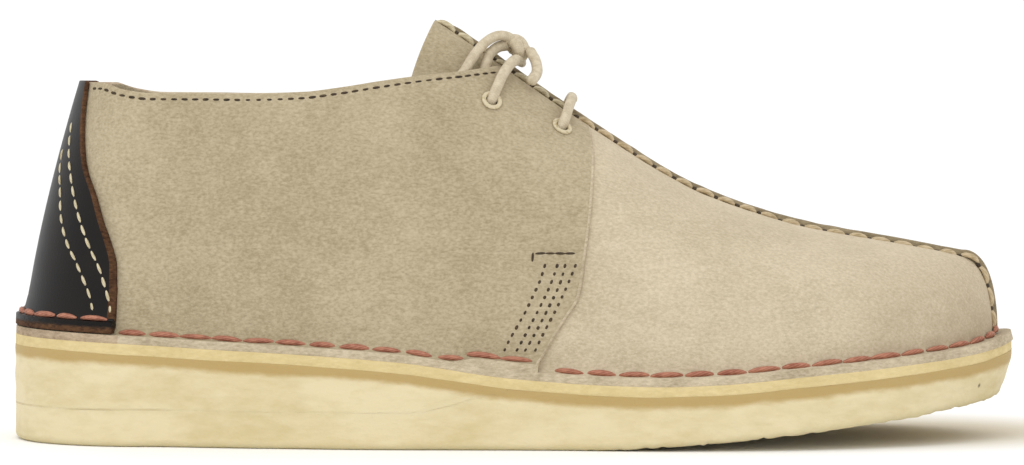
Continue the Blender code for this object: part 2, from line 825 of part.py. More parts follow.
def build_sole(collection):
    edge = SOLE_EDGE_ROUND
    outsole_rings = ((0, edge), (0.03, 0.45 * edge), (0.09, 0), (1, 0))
    outsole = slab("outsole", tread, sheet_line, outsole_rings)
    add_object("outsole", outsole, collection, "crepe")
    wedge_end = station_at(WEDGE_LENGTH - CLEARANCE)
    wedge = slab("heel_wedge", lambda x: sheet_line(x) + CLEARANCE, sole_line,
                 ((0, 0), (1, 0)), wedge_end)
    add_object("heel_wedge", wedge, collection, "crepe")
    midsole = slab("midsole", lambda x: sole_line(x) + CLEARANCE, midsole_top,
                   ((0, MIDSOLE_INSET), (1, MIDSOLE_INSET)))
    add_object("midsole", midsole, collection, "midsole")


def build_upper(collection, cutters):
    upper = add_object("upper", vamp_mesh(), collection, "suede")
    quarters = add_object("quarters", quarter_mesh(), cutters, "suede")
    ridge = add_object("centre_seam", ridge_mesh("centre_seam", vamp_ridge_path()), cutters,
                       "suede")
    for helper in (quarters, ridge):
        hide(helper)
        boolean(upper, helper, "UNION")
    for name, x_share, side_share, _ in EYELETS:
        for side_name, side in (("near", -1), ("far", 1)):
            point, normal = eyelet_frame(x_share, side_share, side, QUARTER_STEP)
            cutter = hole_cutter(f"hole_{name}_{side_name}", cutters, point, normal)
            boolean(upper, cutter, "DIFFERENCE")
            seat = point + CLEARANCE * normal
            depth = QUARTER_WALL + CLEARANCE - EYELET_SETBACK
            eyelet_ring(f"eyelet_{name}_{side_name}", collection, seat, normal, depth)


def build_counter(collection):
    start = QUARTER_STEP + CLEARANCE
    outer = counter_grid(start + COUNTER_WALL, 0)
    inner = counter_grid(start, COUNTER_FLANGE)
    add_object("heel_counter", shell("heel_counter", outer, inner), collection, "counter")


def build_tongue(collection, cutters):
    mesh = shell("tongue", tongue_grid(0), tongue_grid(-TONGUE_WALL))
    tongue = add_object("tongue", mesh, collection, "suede")
    ridge = ridge_mesh("tongue_seam", tongue_ridge_path())
    helper = add_object("tongue_seam", ridge, cutters, "suede")
    hide(helper)
    boolean(tongue, helper, "UNION")


def build_insole(collection):
    inset = FLANGE_WIDTH + VAMP_WALL + INSOLE_CLEARANCE
    mesh = slab("insole", lambda x: midsole_top(x) + CLEARANCE,
                lambda x: midsole_top(x) + CLEARANCE + INSOLE_THICKNESS,
                ((0, inset), (1, inset)))
    add_object("insole", mesh, collection, "leather")


def build_lace(collection):
    upper_eyelet, lower_eyelet = EYELETS
    lace_bar("lace_bar_upper", collection, upper_eyelet)
    lace_bar("lace_bar_lower", collection, lower_eyelet)
    outer = [in_shares(point) for point in LACE_LOOP_OUTER]
    inner = [in_shares(point) for point in LACE_LOOP_INNER]
    lace("lace_loop", collection, outer + lace_bight() + inner)
    lace("lace_end", collection, [in_shares(point) for point in LACE_END])

    def knot(bm):
        bmesh.ops.create_uvsphere(bm, u_segments=14, v_segments=8, radius=0.5)
        bmesh.ops.scale(bm, vec=LACE_KNOT_SIZE, verts=bm.verts)
        bmesh.ops.translate(bm, vec=place(in_shares(LACE_KNOT_PLACE)), verts=bm.verts)

    add_object("lace_knot", mesh_from("lace_knot", knot), collection, "lace")


def main():
    for obj in list(bpy.data.objects):
        bpy.data.objects.remove(obj, do_unlink=True)
    shoe = bpy.data.collections.new("crepe sole shoe")
    cutters = bpy.data.collections.new("cutters")
    for collection in (shoe, cutters):
        bpy.context.scene.collection.children.link(collection)
    build_sole(shoe)
    build_upper(shoe, cutters)
    build_counter(shoe)
    build_tongue(shoe, cutters)
    build_insole(shoe)
    build_lace(shoe)


main()
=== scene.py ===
"""Looks of the crepe sole shoe: suede upper, crepe sole, threads and lace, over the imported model.

Metres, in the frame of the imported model. Lengths along the shoe are measured from the back of the
heel, and Last.place moves them to the model's origin, half a sole length further on. The
rows of side seam and counter stitches are places seen in the photograph, in pixels, and
Last.locate finds each on the form that carries it.
"""

import logging
import math
from collections.abc import Callable, Iterable, Sequence
from dataclasses import dataclass
from enum import Enum

import bpy
import numpy as np
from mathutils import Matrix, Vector, noise


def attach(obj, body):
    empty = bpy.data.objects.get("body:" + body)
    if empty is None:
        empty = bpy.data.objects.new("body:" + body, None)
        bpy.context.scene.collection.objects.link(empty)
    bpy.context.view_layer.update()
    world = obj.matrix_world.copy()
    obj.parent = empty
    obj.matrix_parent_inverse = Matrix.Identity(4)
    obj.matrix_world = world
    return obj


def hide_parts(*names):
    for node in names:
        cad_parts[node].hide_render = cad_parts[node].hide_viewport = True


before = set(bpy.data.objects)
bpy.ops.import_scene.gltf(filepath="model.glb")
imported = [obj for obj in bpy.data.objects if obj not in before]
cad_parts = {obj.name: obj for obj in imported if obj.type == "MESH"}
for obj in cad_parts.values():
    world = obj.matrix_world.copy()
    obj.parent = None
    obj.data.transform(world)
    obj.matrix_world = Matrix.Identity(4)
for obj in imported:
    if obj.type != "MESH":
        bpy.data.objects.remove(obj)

LOG = logging.getLogger("crepe_sole_shoe")
ROOT = "root"
# Scale times ridge width of a wave texture with its default bands
WAVE = 0.31
Table = tuple[tuple[float, ...], ...]


class Edge(Enum):
    """Where a shell's material changes, as an offset in its material list."""

    FACE = 0
    CUT = 1
    BACK = 2


def hex_linear(code: str) -> tuple[float, float, float, float]:
    """Turn an sRGB hex colour to linear RGBA.

    Args:
        code: six hex digits.

    Returns:
        Linear red, green and blue, and an alpha of 1.
    """
    values = [int(code[i : i + 2], 16) / 255 for i in (0, 2, 4)]
    linear = [v / 12.92 if v <= 0.04045 else ((v + 0.055) / 1.055) ** 2.4 for v in values]
    return (linear[0], linear[1], linear[2], 1.0)


def through(table: Table, column: int, x: np.ndarray | float) -> np.ndarray:
    """Read a table's column at x, on a smooth curve through its rows, without overshoot.

    Args:
        table: rows that start with the place along the curve.
        column: the column to read.
        x: one place or many.

    Returns:
        The value or values.
    """
    xs = np.array([row[0] for row in table])
    ys = np.array([row[column] for row in table])
    at = np.clip(x, xs[0], xs[-1])
    rises = np.diff(ys) / np.diff(xs)
    product, total = rises[:-1] * rises[1:], rises[:-1] + rises[1:]
    inner = np.where(product > 0, 2 * product / np.where(product > 0, total, 1.0), 0.0)
    slopes = np.concatenate(([rises[0]], inner, [rises[-1]]))
    i = np.clip(np.searchsorted(xs, at, side="right") - 1, 0, len(rises) - 1)
    width = xs[i + 1] - xs[i]
    t = (at - xs[i]) / width
    return (
        (1 + 2 * t) * (1 - t) ** 2 * ys[i]
        + t * (1 - t) ** 2 * width * slopes[i]
        + t * t * (3 - 2 * t) * ys[i + 1]
        + t * t * (t - 1) * width * slopes[i + 1]
    )


def soft_step(value: np.ndarray | float, start: float, end: float) -> np.ndarray:
    """Rise smoothly from 0 before start to 1 after end."""
    t = np.clip((np.asarray(value, float) - start) / (end - start), 0.0, 1.0)
    return t * t * (3 - 2 * t)


@dataclass(frozen=True)
class PhotoView:
    """The photograph's camera: level sight, distances in metres and picture sizes in pixels."""

    width: int = 1024
    height: int = 465
    distance: float = 1.3
    eye_height: float = 0.112
    aim: float = -0.0009
    focal: float = 4272.0
    horizon: float = 69.0

    def project(self, points: np.ndarray) -> np.ndarray:
        """Where points of the model's frame are seen in the picture."""
        scale = self.focal / (self.distance + points[..., 1])
        u = self.width / 2 + scale * (points[..., 0] - self.aim)
        v = self.horizon + scale * (self.eye_height - points[..., 2])
        return np.stack((u, v), axis=-1)


@dataclass(frozen=True)
class Last:
    """The form that the upper is pulled over, and the sole's outline under it.

    A place on it is a station round the shoe (0 back of the heel, 1 and 2 the ends of the straight
    sides, 3 tip of the toe) and a rise (0 at the feather line, 1 at the crest). A swell is a
    distance outward from it.
    """

    length: float = 0.304
    ball_width: float = 0.107
    heel_stack: float = 0.0286
    tread_sheet: float = 0.0112
    midsole: float = 0.0022
    toe_spring: float = 0.0135
    spring_start: float = 0.172
    spring_curve: float = 1.45
    heel_round: float = 0.042
    toe_round: float = 0.075
    wedge_length: float = 0.150
    flange_width: float = 0.0060
    flange_thickness: float = 0.0028
    collar_back: float = 0.1075
    instep: float = 0.0939
    fullness: float = 2.25
    heel_lean: float = 0.0166
    lean_curve: float = 1.33
    crest_tip: float = 0.289
    clearance: float = 0.0003
    throat_gap: float = 0.0105
    vamp_foot_start: float = 0.132
    vamp_crest_start: float = 0.169
    step: float = 1e-3

    plan: Table = ((0.000, 0.000, 0.352), (0.140, 0.000, 0.355), (0.240, -0.028, 0.374),
                   (0.385, -0.065, 0.388), (0.526, -0.042, 0.425), (0.658, -0.014, 0.491),
                   (0.730, 0.000, 0.500), (0.822, 0.023, 0.491), (1.000, 0.061, 0.462))
    sole_table: Table = ((0.000, 1.012), (0.106, 0.968), (0.195, 0.917), (0.292, 0.866),
                         (0.389, 0.792), (0.428, 0.736), (0.466, 0.672), (0.505, 0.624),
                         (0.582, 0.570), (0.640, 0.556), (0.697, 0.575), (0.774, 0.648),
                         (0.853, 0.720), (0.946, 0.822), (0.975, 0.872), (1.000, 0.940))
    crest_table: Table = ((0.000, 1.610), (0.148, 1.600), (0.247, 1.555), (0.345, 1.462),
                          (0.421, 1.350), (0.462, 1.262), (0.577, 1.003), (0.687, 0.792),
                          (0.787, 0.685), (0.888, 0.624), (0.947, 0.588), (1.000, 0.560))
    crest_side_table: Table = ((0.000, 0.000), (0.480, 0.000), (0.730, 0.022), (1.000, 0.061))
    collar_table: Table = ((0.065, 1.002), (0.100, 0.984), (0.145, 0.974), (0.194, 0.973),
                           (0.240, 0.971), (0.289, 0.975), (0.329, 0.988), (0.368, 1.005),
                           (0.408, 1.020), (0.444, 1.031), (0.484, 1.042), (0.600, 1.060))

    @property
    def toe_start(self) -> float:
        """Where the sides end and the toe's round begins."""
        return self.length - self.toe_round

    def place(self, points: np.ndarray) -> np.ndarray:
        """Points measured from the back of the heel, moved to the model's frame."""
        return np.asarray(points, float) - np.array((self.length / 2, 0.0, 0.0))

    def centre_line(self, x: np.ndarray) -> np.ndarray:
        """Sideways place of the sole's middle."""
        return self.ball_width * through(self.plan, 1, x / self.length)

    def half_width(self, x: np.ndarray) -> np.ndarray:
        """Half the sole's width."""
        return self.ball_width * through(self.plan, 2, x / self.length)

    def sole_line(self, x: np.ndarray) -> np.ndarray:
        """Height of the crepe's top face."""
        return self.heel_stack * through(self.sole_table, 1, np.asarray(x) / self.length)

    def tread(self, x: np.ndarray) -> np.ndarray:
        """Height of the crepe's bottom: flat, then the toe spring."""
        share = np.maximum(x - self.spring_start, 0.0) / (self.length - self.spring_start)
        return self.toe_spring * share**self.spring_curve

    def sheet_line(self, x: np.ndarray) -> np.ndarray:
        """Top of the outsole: the tread sheet under the wedge, and the sole line past it."""
        rest = soft_step(x, 0.8 * self.wedge_length, self.wedge_length)
        end = float(self.sole_line(self.wedge_length)) - 4 * self.clearance
        under = self.tread_sheet + rest * (end - self.tread_sheet)
        return np.where(x > self.wedge_length, self.sole_line(x), under)

    def midsole_top(self, x: np.ndarray) -> np.ndarray:
        """Height of the midsole's top face."""
        return self.sole_line(x) + self.clearance + self.midsole

    def vamp_flange_top(self, x: np.ndarray) -> np.ndarray:
        """Height of the vamp's turned-out edge."""
        return self.midsole_top(x) + self.clearance + self.flange_thickness

    def quarter_flange_top(self, x: np.ndarray) -> np.ndarray:
        """The quarters' flange climbs onto the vamp's."""
        climb = soft_step(x, self.vamp_foot_start, self.vamp_foot_start + 0.010)
        return self.vamp_flange_top(x) + climb * (self.flange_thickness - 0.0004)

    def collar_height(self, x: np.ndarray) -> np.ndarray:
        """Height of the collar's edge."""
        return self.collar_back * through(self.collar_table, 1, x / self.length)

    def station_at(self, x: np.ndarray) -> np.ndarray:
        """The station of a feather-line length on the sides or the heel."""
        x = np.asarray(x, float)
        reach = self.heel_round - self.flange_width
        turn = np.arccos(np.clip((self.heel_round - x) / reach, -1.0, 1.0)) * 2 / math.pi
        straight = 1 + (x - self.heel_round) / (self.toe_start - self.heel_round)
        return np.where(x < self.heel_round, turn, straight)

    def store(self, obj: bpy.types.Object, name: str, measure: Callable) -> None:
        """Store a measure of each point's length from the heel and height, for a finish."""
        points = np.array([v.co for v in obj.data.vertices])
        values = measure(points[:, 0] + self.length / 2, points[:, 2])
        layer = obj.data.attributes.new(name, "FLOAT", "POINT")
        layer.data.foreach_set("value", values.astype(np.float32))

    def outline(self, station: np.ndarray, side: float, inset: np.ndarray | float) -> np.ndarray:
        """Points of the sole's plan, moved inward by inset.

        Args:
            station: places round the shoe.
            side: -1 near or 1 far.
            inset: distance in from the sole's edge.

        Returns:
            x and y in the last axis.
        """
        station = np.asarray(station, float)
        heel_turn = np.clip(station, 0, 1) * math.pi / 2
        toe_turn = np.clip(station - 2, 0, 1) * math.pi / 2
        heel_x = self.heel_round - (self.heel_round - inset) * np.cos(heel_turn)
        side_x = self.heel_round + (station - 1) * (self.toe_start - self.heel_round)
        toe_x = self.toe_start + (self.toe_round - inset) * np.sin(toe_turn)
        x = np.where(station <= 1, heel_x, np.where(station <= 2, side_x, toe_x))
        carrier = np.where(station <= 1, self.heel_round, x)
        share = np.where(station <= 1, np.sin(heel_turn), np.cos(toe_turn))
        y = self.centre_line(carrier) + side * (self.half_width(carrier) - inset) * share
        return np.stack((x, y), axis=-1)

    def crest_x(self, station: np.ndarray, foot_x: np.ndarray) -> np.ndarray:
        """Where the section from foot_x meets the crest: the toe's sections fan out."""
        t = np.clip(station - 2, 0, 1)
        run = self.crest_tip - self.toe_start
        first = (self.toe_round - self.flange_width) * math.pi / 2 / run
        share = first * t * (1 - t) ** 2 + t * t * (3 - 2 * t) - 0.55 * t * t * (1 - t)
        return np.where(station <= 2, foot_x, self.toe_start + run * share)

    def base(self, station: np.ndarray, rise: np.ndarray, side: float) -> np.ndarray:
        """Points of the bare form, in the heel's measure."""
        station, rise = np.broadcast_arrays(np.asarray(station, float), np.asarray(rise, float))
        angle = rise * math.pi / 2
        out = np.maximum(np.cos(angle), 0.0) ** (2 / self.fullness)
        up = np.maximum(np.sin(angle), 0.0) ** (2 / self.fullness)
        foot = self.outline(station, side, self.flange_width)
        foot_x, foot_y = foot[..., 0], foot[..., 1]
        top_x = self.crest_x(station, foot_x)
        top_y = self.ball_width * through(self.crest_side_table, 1, top_x / self.length)
        base = self.vamp_flange_top(foot_x)
        crest = self.instep * through(self.crest_table, 1, top_x / self.length)
        height = base + (crest - base) * up
        share = np.maximum(height - base, 0.0) / (self.collar_back - base)
        reach = self.heel_round - self.flange_width - self.heel_lean * share**self.lean_curve
        turn = np.clip(station, 0, 1) * math.pi / 2
        half = (self.half_width(np.array(self.heel_round)) - self.flange_width) * np.sin(turn)
        heel = station <= 1
        x = np.where(heel, self.heel_round - reach * np.cos(turn), top_x + (foot_x - top_x) * out)
        y = np.where(heel, side * half * out, top_y + (foot_y - top_y) * out)
        return np.stack((x, y, height), axis=-1)

    def side_normal(self, station: np.ndarray, rise: np.ndarray, side: float) -> np.ndarray:
        """Unit normals of the form, from one side of it."""
        before, after = np.maximum(station - self.step, 0), np.minimum(station + self.step, 3)
        lower, upper = np.maximum(rise - self.step, 0), np.minimum(rise + self.step, 1)
        along = self.base(after, rise, side) - self.base(before, rise, side)
        across = self.base(station, upper, side) - self.base(station, lower, side)
        normal = -side * np.cross(along, across)
        return normal / np.linalg.norm(normal, axis=-1, keepdims=True)

    def outward(self, station: np.ndarray, rise: np.ndarray, side: float) -> np.ndarray:
        """Unit normals of the form; where its two sides meet they share the middle one."""
        station, rise = np.broadcast_arrays(np.asarray(station, float), np.asarray(rise, float))
        own = self.side_normal(station, rise, side)
        both = own + self.side_normal(station, rise, -side)
        both[..., 1] = 0.0
        both /= np.linalg.norm(both, axis=-1, keepdims=True)
        meets = ((station <= 0) | (station >= 3) | (rise >= 1))[..., None]
        return np.where(meets, both, own)

    def point(
        self, station: np.ndarray, rise: np.ndarray, side: float, swell: np.ndarray | float = 0.0
    ) -> np.ndarray:
        """Points at a swell over the form, in the model's frame.

        Args:
            station: places round the shoe.
            rise: places up the wall.
            side: -1 near or 1 far.
            swell: distance outward.

        Returns:
            x, y and z in the last axis.
        """
        swell = np.asarray(swell, float)[..., None]
        lifted = swell * self.outward(station, rise, side)
        return self.place(self.base(station, rise, side) + lifted)

    def rise_at_height(self, x: np.ndarray, height: np.ndarray) -> np.ndarray:
        """The rise where the form reaches a height on the section at x."""
        base = self.vamp_flange_top(x)
        crest = self.instep * through(self.crest_table, 1, x / self.length)
        up = np.clip((height - base) / (crest - base), 0.0, 1.0)
        return np.arcsin(up ** (self.fullness / 2)) * 2 / math.pi

    def rise_at_side(self, x: np.ndarray, distance: np.ndarray | float) -> np.ndarray:
        """The rise where the form is this far from the centre seam on the section at x."""
        half = self.half_width(x) - self.flange_width
        return np.arccos(np.clip(distance / half, 0, 1) ** (self.fullness / 2)) * 2 / math.pi

    def top_rise(self, x: np.ndarray) -> np.ndarray:
        """The quarters' top edge: the collar, and in front of its corner the throat."""
        collar = self.rise_at_height(x, self.collar_height(x))
        return np.minimum(collar, self.rise_at_side(x, self.throat_gap))

    def height_share(self, rise: np.ndarray) -> np.ndarray:
        """Height share of the wall at a rise."""
        return np.sin(rise * math.pi / 2) ** (2 / self.fullness)

    def locate(
        self, seen: Sequence[tuple[float, float]], view: PhotoView, swell: float
    ) -> np.ndarray:
        """Find where marks in the photograph lie on the near side of the form.

        Args:
            seen: places in the picture, in pixels.
            view: the photograph's camera.
            swell: distance of the carrying surface over the form.

        Returns:
            A station and a rise for each mark.
        """
        target = np.array(seen, float)
        s, r = np.meshgrid(np.linspace(0.01, 2.99, 220), np.linspace(0.02, 0.99, 120))
        table = np.stack((s.ravel(), r.ravel()), axis=-1)
        shown = view.project(self.point(table[:, 0], table[:, 1], -1, swell))
        facing = self.side_normal(table[:, 0], table[:, 1], -1)[:, 1] < 0.05
        gaps = np.linalg.norm(shown[None] - target[:, None], axis=-1) + 1e4 * ~facing
        found = table[np.argmin(gaps, axis=1)].copy()
        for _ in range(8):
            here = view.project(self.point(found[:, 0], found[:, 1], -1, swell))
            along = view.project(self.point(found[:, 0] + 1e-4, found[:, 1], -1, swell)) - here
            up = view.project(self.point(found[:, 0], found[:, 1] - 1e-4, -1, swell)) - here
            slope = np.stack((along / 1e-4, up / -1e-4), axis=-1)
            slope += np.eye(2) * 1e-6
            move = np.linalg.solve(slope, (target - here)[..., None])[..., 0]
            found += np.clip(move, -0.03, 0.03)
            found[:, 0] = np.clip(found[:, 0], 0.005, 2.995)
            found[:, 1] = np.clip(found[:, 1], 0.005, 0.995)
        return found


def deselect_all() -> None:
    """Leave nothing selected and Blender in object mode."""
    if bpy.context.mode != "OBJECT":
        bpy.ops.object.mode_set(mode="OBJECT")
    bpy.ops.object.select_all(action="DESELECT")


def select_only(obj: bpy.types.Object) -> None:
    """Leave one object selected and active, in object mode."""
    deselect_all()
    obj.select_set(True)
    bpy.context.view_layer.objects.active = obj


def lengths_of(points: np.ndarray, axis: int) -> np.ndarray:
    """Running length along one axis of a grid of points."""
    steps = np.linalg.norm(np.diff(points, axis=axis), axis=-1)
    start = np.zeros_like(np.take(steps, [0], axis=axis))
    return np.concatenate((start, np.cumsum(steps, axis=axis)), axis=axis)


def laid_grid(name: str, points: np.ndarray) -> bpy.types.Object:
    """Lay a grid primitive on a form, with its UVs in metres along the surface.

    Args:
        name: the new object's name.
        points: columns, rows and x, y, z in the model's frame.

    Returns:
        The object, at the origin.
    """
    columns, rows = points.shape[:2]
    deselect_all()
    bpy.ops.mesh.primitive_grid_add(x_subdivisions=columns - 1, y_subdivisions=rows - 1, size=1)
    obj = bpy.context.object
    obj.name = obj.data.name = name
    mesh = obj.data
    flat = np.empty(len(mesh.vertices) * 3)
    mesh.vertices.foreach_get("co", flat)
    flat = flat.reshape(-1, 3)
    i = np.rint((flat[:, 0] + 0.5) * (columns - 1)).astype(int)
    j = np.rint((flat[:, 1] + 0.5) * (rows - 1)).astype(int)
    mesh.vertices.foreach_set("co", points[i, j].ravel())
    along, across = lengths_of(points, 0), lengths_of(points, 1)
    loops = np.empty(len(mesh.loops), int)
    mesh.loops.foreach_get("vertex_index", loops)
    uv = np.stack((along[i, j][loops], across[i, j][loops]), axis=-1)
    mesh.uv_layers.active.data.foreach_set("uv", uv.ravel())
    for key, values in (("column", i), ("row", j)):
        mesh.attributes.new(key, "FLOAT", "POINT").data.foreach_set(
            "value", values.astype(np.float32))
    mesh.update()
    return obj


def grid_places(obj: bpy.types.Object) -> tuple[np.ndarray, np.ndarray]:
    """The column and row of each point of a laid grid."""
    found = []
    for key in ("column", "row"):
        values = np.empty(len(obj.data.vertices), np.float32)
        obj.data.attributes[key].data.foreach_get("value", values)
        found.append(values)
    return found[0], found[1]


def paint_faces(obj: bpy.types.Object, number: int, test: Callable) -> None:
    """Give material number to the faces of a laid grid whose mean column and row pass a test."""
    column, row = grid_places(obj)
    for face in obj.data.polygons:
        corners = list(face.vertices)
        if test(column[corners].mean(), row[corners].mean()):
            face.material_index = number


def weld(obj: bpy.types.Object, distance: float = 1e-6, closed: bool = True) -> None:
    """Merge an object's doubled points and, where it is closed, turn its faces outward."""
    select_only(obj)
    bpy.ops.object.mode_set(mode="EDIT")
    bpy.ops.mesh.select_all(action="SELECT")
    bpy.ops.mesh.remove_doubles(threshold=distance)
    if closed:
        bpy.ops.mesh.normals_make_consistent(inside=False)
    bpy.ops.object.mode_set(mode="OBJECT")


def apply_all(obj: bpy.types.Object) -> None:
    """Apply an object's modifiers in order."""
    select_only(obj)
    for modifier in list(obj.modifiers):
        bpy.ops.object.modifier_apply(modifier=modifier.name)


def smooth(obj: bpy.types.Object, angle: float = 42.0) -> None:
    """Shade smooth, with edges past an angle kept sharp."""
    select_only(obj)
    bpy.ops.object.shade_smooth_by_angle(angle=math.radians(angle))


def thicken(
    obj: bpy.types.Object, thickness: float, edge_round: float = 0.0,
    thin: Callable | None = None,
) -> None:
    """Give a laid sheet its wall, inward, with its cut edge and back as materials 1 and 2.

    Args:
        obj: the sheet.
        thickness: the wall.
        edge_round: how far the cut edge's corners are rounded.
        thin: share of the thickness for a column and a row of the grid.
    """
    solid = obj.modifiers.new("wall", "SOLIDIFY")
    if thin:
        group = obj.vertex_groups.new(name="thickness")
        for k, (column, row) in enumerate(zip(*grid_places(obj))):
            group.add([k], float(thin(column, row)), "REPLACE")
        solid.vertex_group = group.name
    solid.thickness = thickness
    solid.offset = -1
    solid.use_even_offset = True
    solid.material_offset = Edge.BACK.value
    solid.material_offset_rim = Edge.CUT.value
    if edge_round:
        bevel = obj.modifiers.new("edge", "BEVEL")
        bevel.width = edge_round
        bevel.segments = 2
        bevel.limit_method = "ANGLE"
        bevel.angle_limit = math.radians(62)
        bevel.harden_normals = False
    apply_all(obj)


def pierce(obj: bpy.types.Object, place: tuple[np.ndarray, np.ndarray], radius: float) -> None:
    """Cut a round hole through a shell.

    Args:
        obj: the shell.
        place: the hole's centre and its direction.
        radius: of the hole.
    """
    centre, normal = place
    deselect_all()
    turn = Vector(normal).to_track_quat("Z", "Y").to_euler()
    bpy.ops.mesh.primitive_cylinder_add(vertices=28, radius=radius, depth=0.010,
                                        location=tuple(centre), rotation=turn)
    cutter = bpy.context.object
    for face in cutter.data.polygons:
        face.material_index = Edge.CUT.value
    hole = obj.modifiers.new("hole", "BOOLEAN")
    hole.object, hole.operation, hole.solver = cutter, "DIFFERENCE", "EXACT"
    apply_all(obj)
    bpy.data.objects.remove(cutter, do_unlink=True)


def carry(obj: bpy.types.Object, slot: str, *nodes: str) -> bpy.types.Object:
    """Let a piece ride on the shoe and stand for the model's nodes."""
    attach(obj, ROOT)
    if nodes:
        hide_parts(*nodes)
    LOG.info("%s: %d faces", obj.name, len(obj.data.polygons) if obj.type == "MESH" else 0)
    return obj


def running_frames(path: np.ndarray) -> tuple[np.ndarray, np.ndarray, np.ndarray]:
    """Directions along a path that don't twist: ahead, up and across at each point."""
    ahead = np.gradient(path, axis=0)
    ahead /= np.linalg.norm(ahead, axis=1, keepdims=True)
    up = np.empty_like(ahead)
    guess = np.array((0.0, 0.0, 1.0)) if abs(ahead[0][2]) < 0.9 else np.array((0.0, 1.0, 0.0))
    for k, forward in enumerate(ahead):
        guess = guess - forward * guess.dot(forward)
        guess = guess / np.linalg.norm(guess)
        up[k] = guess
    return ahead, up, np.cross(ahead, up)


def smooth_path(points: Sequence[Sequence[float]], spacing: float) -> np.ndarray:
    """Points about spacing apart on a smooth curve through the given ones."""
    given = [np.array(p, float) for p in points]
    ends = [2 * given[0] - given[1], *given, 2 * given[-1] - given[-2]]
    path = []
    for a, b, c, d in zip(ends, ends[1:], ends[2:], ends[3:]):
        count = max(1, round(float(np.linalg.norm(c - b)) / spacing))
        for k in range(count):
            t = k / count
            path.append(0.5 * (2 * b + (c - a) * t + (2 * a - 5 * b + 4 * c - d) * t * t
                               + (3 * b - a - 3 * c + d) * t**3))
    return np.array(path + [given[-1]])


def tube(
    name: str, path: np.ndarray, radius: float, around: int = 16, flat: float = 1.0,
    taper: Callable[[np.ndarray], np.ndarray] | None = None,
) -> bpy.types.Object:
    """A cord's skin: a grid rolled round a path, with rounded ends.

    Args:
        name: the new object's name.
        path: points of the middle, in the model's frame.
        radius: half the cord's width.
        around: faces round it.
        flat: height over width.
        taper: width share for each point's share of the path.

    Returns:
        The closed mesh object.
    """
    ahead, up, across = running_frames(path)
    shares = np.linspace(0, 1, len(path))
    widths = radius * (taper(shares) if taper else np.ones(len(path)))
    cap = 4
    turns = np.linspace(0, math.pi / 2, cap + 1)
    centres, sizes = [], []
    for t in turns[:-1]:
        centres.append(path[0] - ahead[0] * widths[0] * 0.7 * math.cos(t))
        sizes.append(max(widths[0] * math.sin(t), 1e-7))
    centres.extend(path)
    sizes.extend(widths)
    for t in turns[-2::-1]:
        centres.append(path[-1] + ahead[-1] * widths[-1] * 0.7 * math.cos(t))
        sizes.append(max(widths[-1] * math.sin(t), 1e-7))
    pick = [0] * cap + list(range(len(path))) + [len(path) - 1] * cap
    turn = np.linspace(0, 2 * math.pi, around + 1)
    rings = np.array([
        centre + size * (np.outer(np.cos(turn), across[k]) + flat * np.outer(np.sin(turn), up[k]))
        for centre, size, k in zip(centres, sizes, pick)
    ])
    obj = laid_grid(name, rings)
    weld(obj, 2e-6)
    smooth(obj, 60)
    return obj


@dataclass(frozen=True)
class Line:
    """A line on a surface of the shoe: evenly spaced places with their directions."""

    points: np.ndarray
    ahead: np.ndarray
    normal: np.ndarray


def spaced(points: np.ndarray, normals: np.ndarray, pitch: float, start: float = 0.0) -> Line:
    """Cut a dense line into places one pitch apart.

    Args:
        points: the dense line.
        normals: its outward directions.
        pitch: distance from place to place.
        start: distance of the first place from the line's start.

    Returns:
        The places with their directions.
    """
    run = lengths_of(points, 0)
    at = np.arange(start, run[-1] + 1e-9, pitch)
    centre = np.stack([np.interp(at, run, points[:, k]) for k in range(3)], axis=-1)
    before = np.stack([np.interp(at - pitch / 4, run, points[:, k]) for k in range(3)], axis=-1)
    after = np.stack([np.interp(at + pitch / 4, run, points[:, k]) for k in range(3)], axis=-1)
    ahead = after - before
    ahead /= np.linalg.norm(ahead, axis=1, keepdims=True)
    normal = np.stack([np.interp(at, run, normals[:, k]) for k in range(3)], axis=-1)
    normal -= ahead * np.sum(normal * ahead, axis=1, keepdims=True)
    normal /= np.linalg.norm(normal, axis=1, keepdims=True)
    return Line(centre, ahead, normal)


def copies(
    name: str, master: bpy.types.Object, line: Line, seed: int = 0, wander: float = 0.0
) -> bpy.types.Object:
    """Sew copies of one modelled stitch along a line, as one joined mesh.

    Args:
        name: the new object's name.
        master: the stitch, lying along x with z outward. It is removed.
        line: where the copies go.
        seed: picks how the copies differ.
        wander: how far a copy's size and turn may differ, as a share.

    Returns:
        The joined mesh object.
    """
    mesh = master.data
    base = np.array([v.co for v in mesh.vertices])
    faces = [tuple(p.vertices) for p in mesh.polygons]
    uvs = np.empty(len(mesh.loops) * 2)
    mesh.uv_layers.active.data.foreach_get("uv", uvs)
    random = np.random.default_rng(seed)
    points, joined = [], []
    for k in range(len(line.points)):
        across = np.cross(line.normal[k], line.ahead[k])
        size = 1 + wander * random.uniform(-1, 1, 3)
        turn = wander * 0.35 * random.uniform(-1, 1)
        ahead = line.ahead[k] * math.cos(turn) + across * math.sin(turn)
        side = across * math.cos(turn) - line.ahead[k] * math.sin(turn)
        placed = (base[:, :1] * ahead * size[0] + base[:, 1:2] * side * size[1]
                  + base[:, 2:] * line.normal[k] * size[2])
        points.append(placed + line.points[k])
        joined += [tuple(v + k * len(base) for v in face) for face in faces]
    made = bpy.data.meshes.new(name)
    made.from_pydata(np.concatenate(points).tolist(), [], joined)
    layer = made.uv_layers.new(name="UVMap")
    layer.data.foreach_set("uv", np.tile(uvs, len(line.points)))
    made.shade_smooth()
    made.update()
    obj = bpy.data.objects.new(name, made)
    bpy.context.scene.collection.objects.link(obj)
    bpy.data.objects.remove(master, do_unlink=True)
    return obj


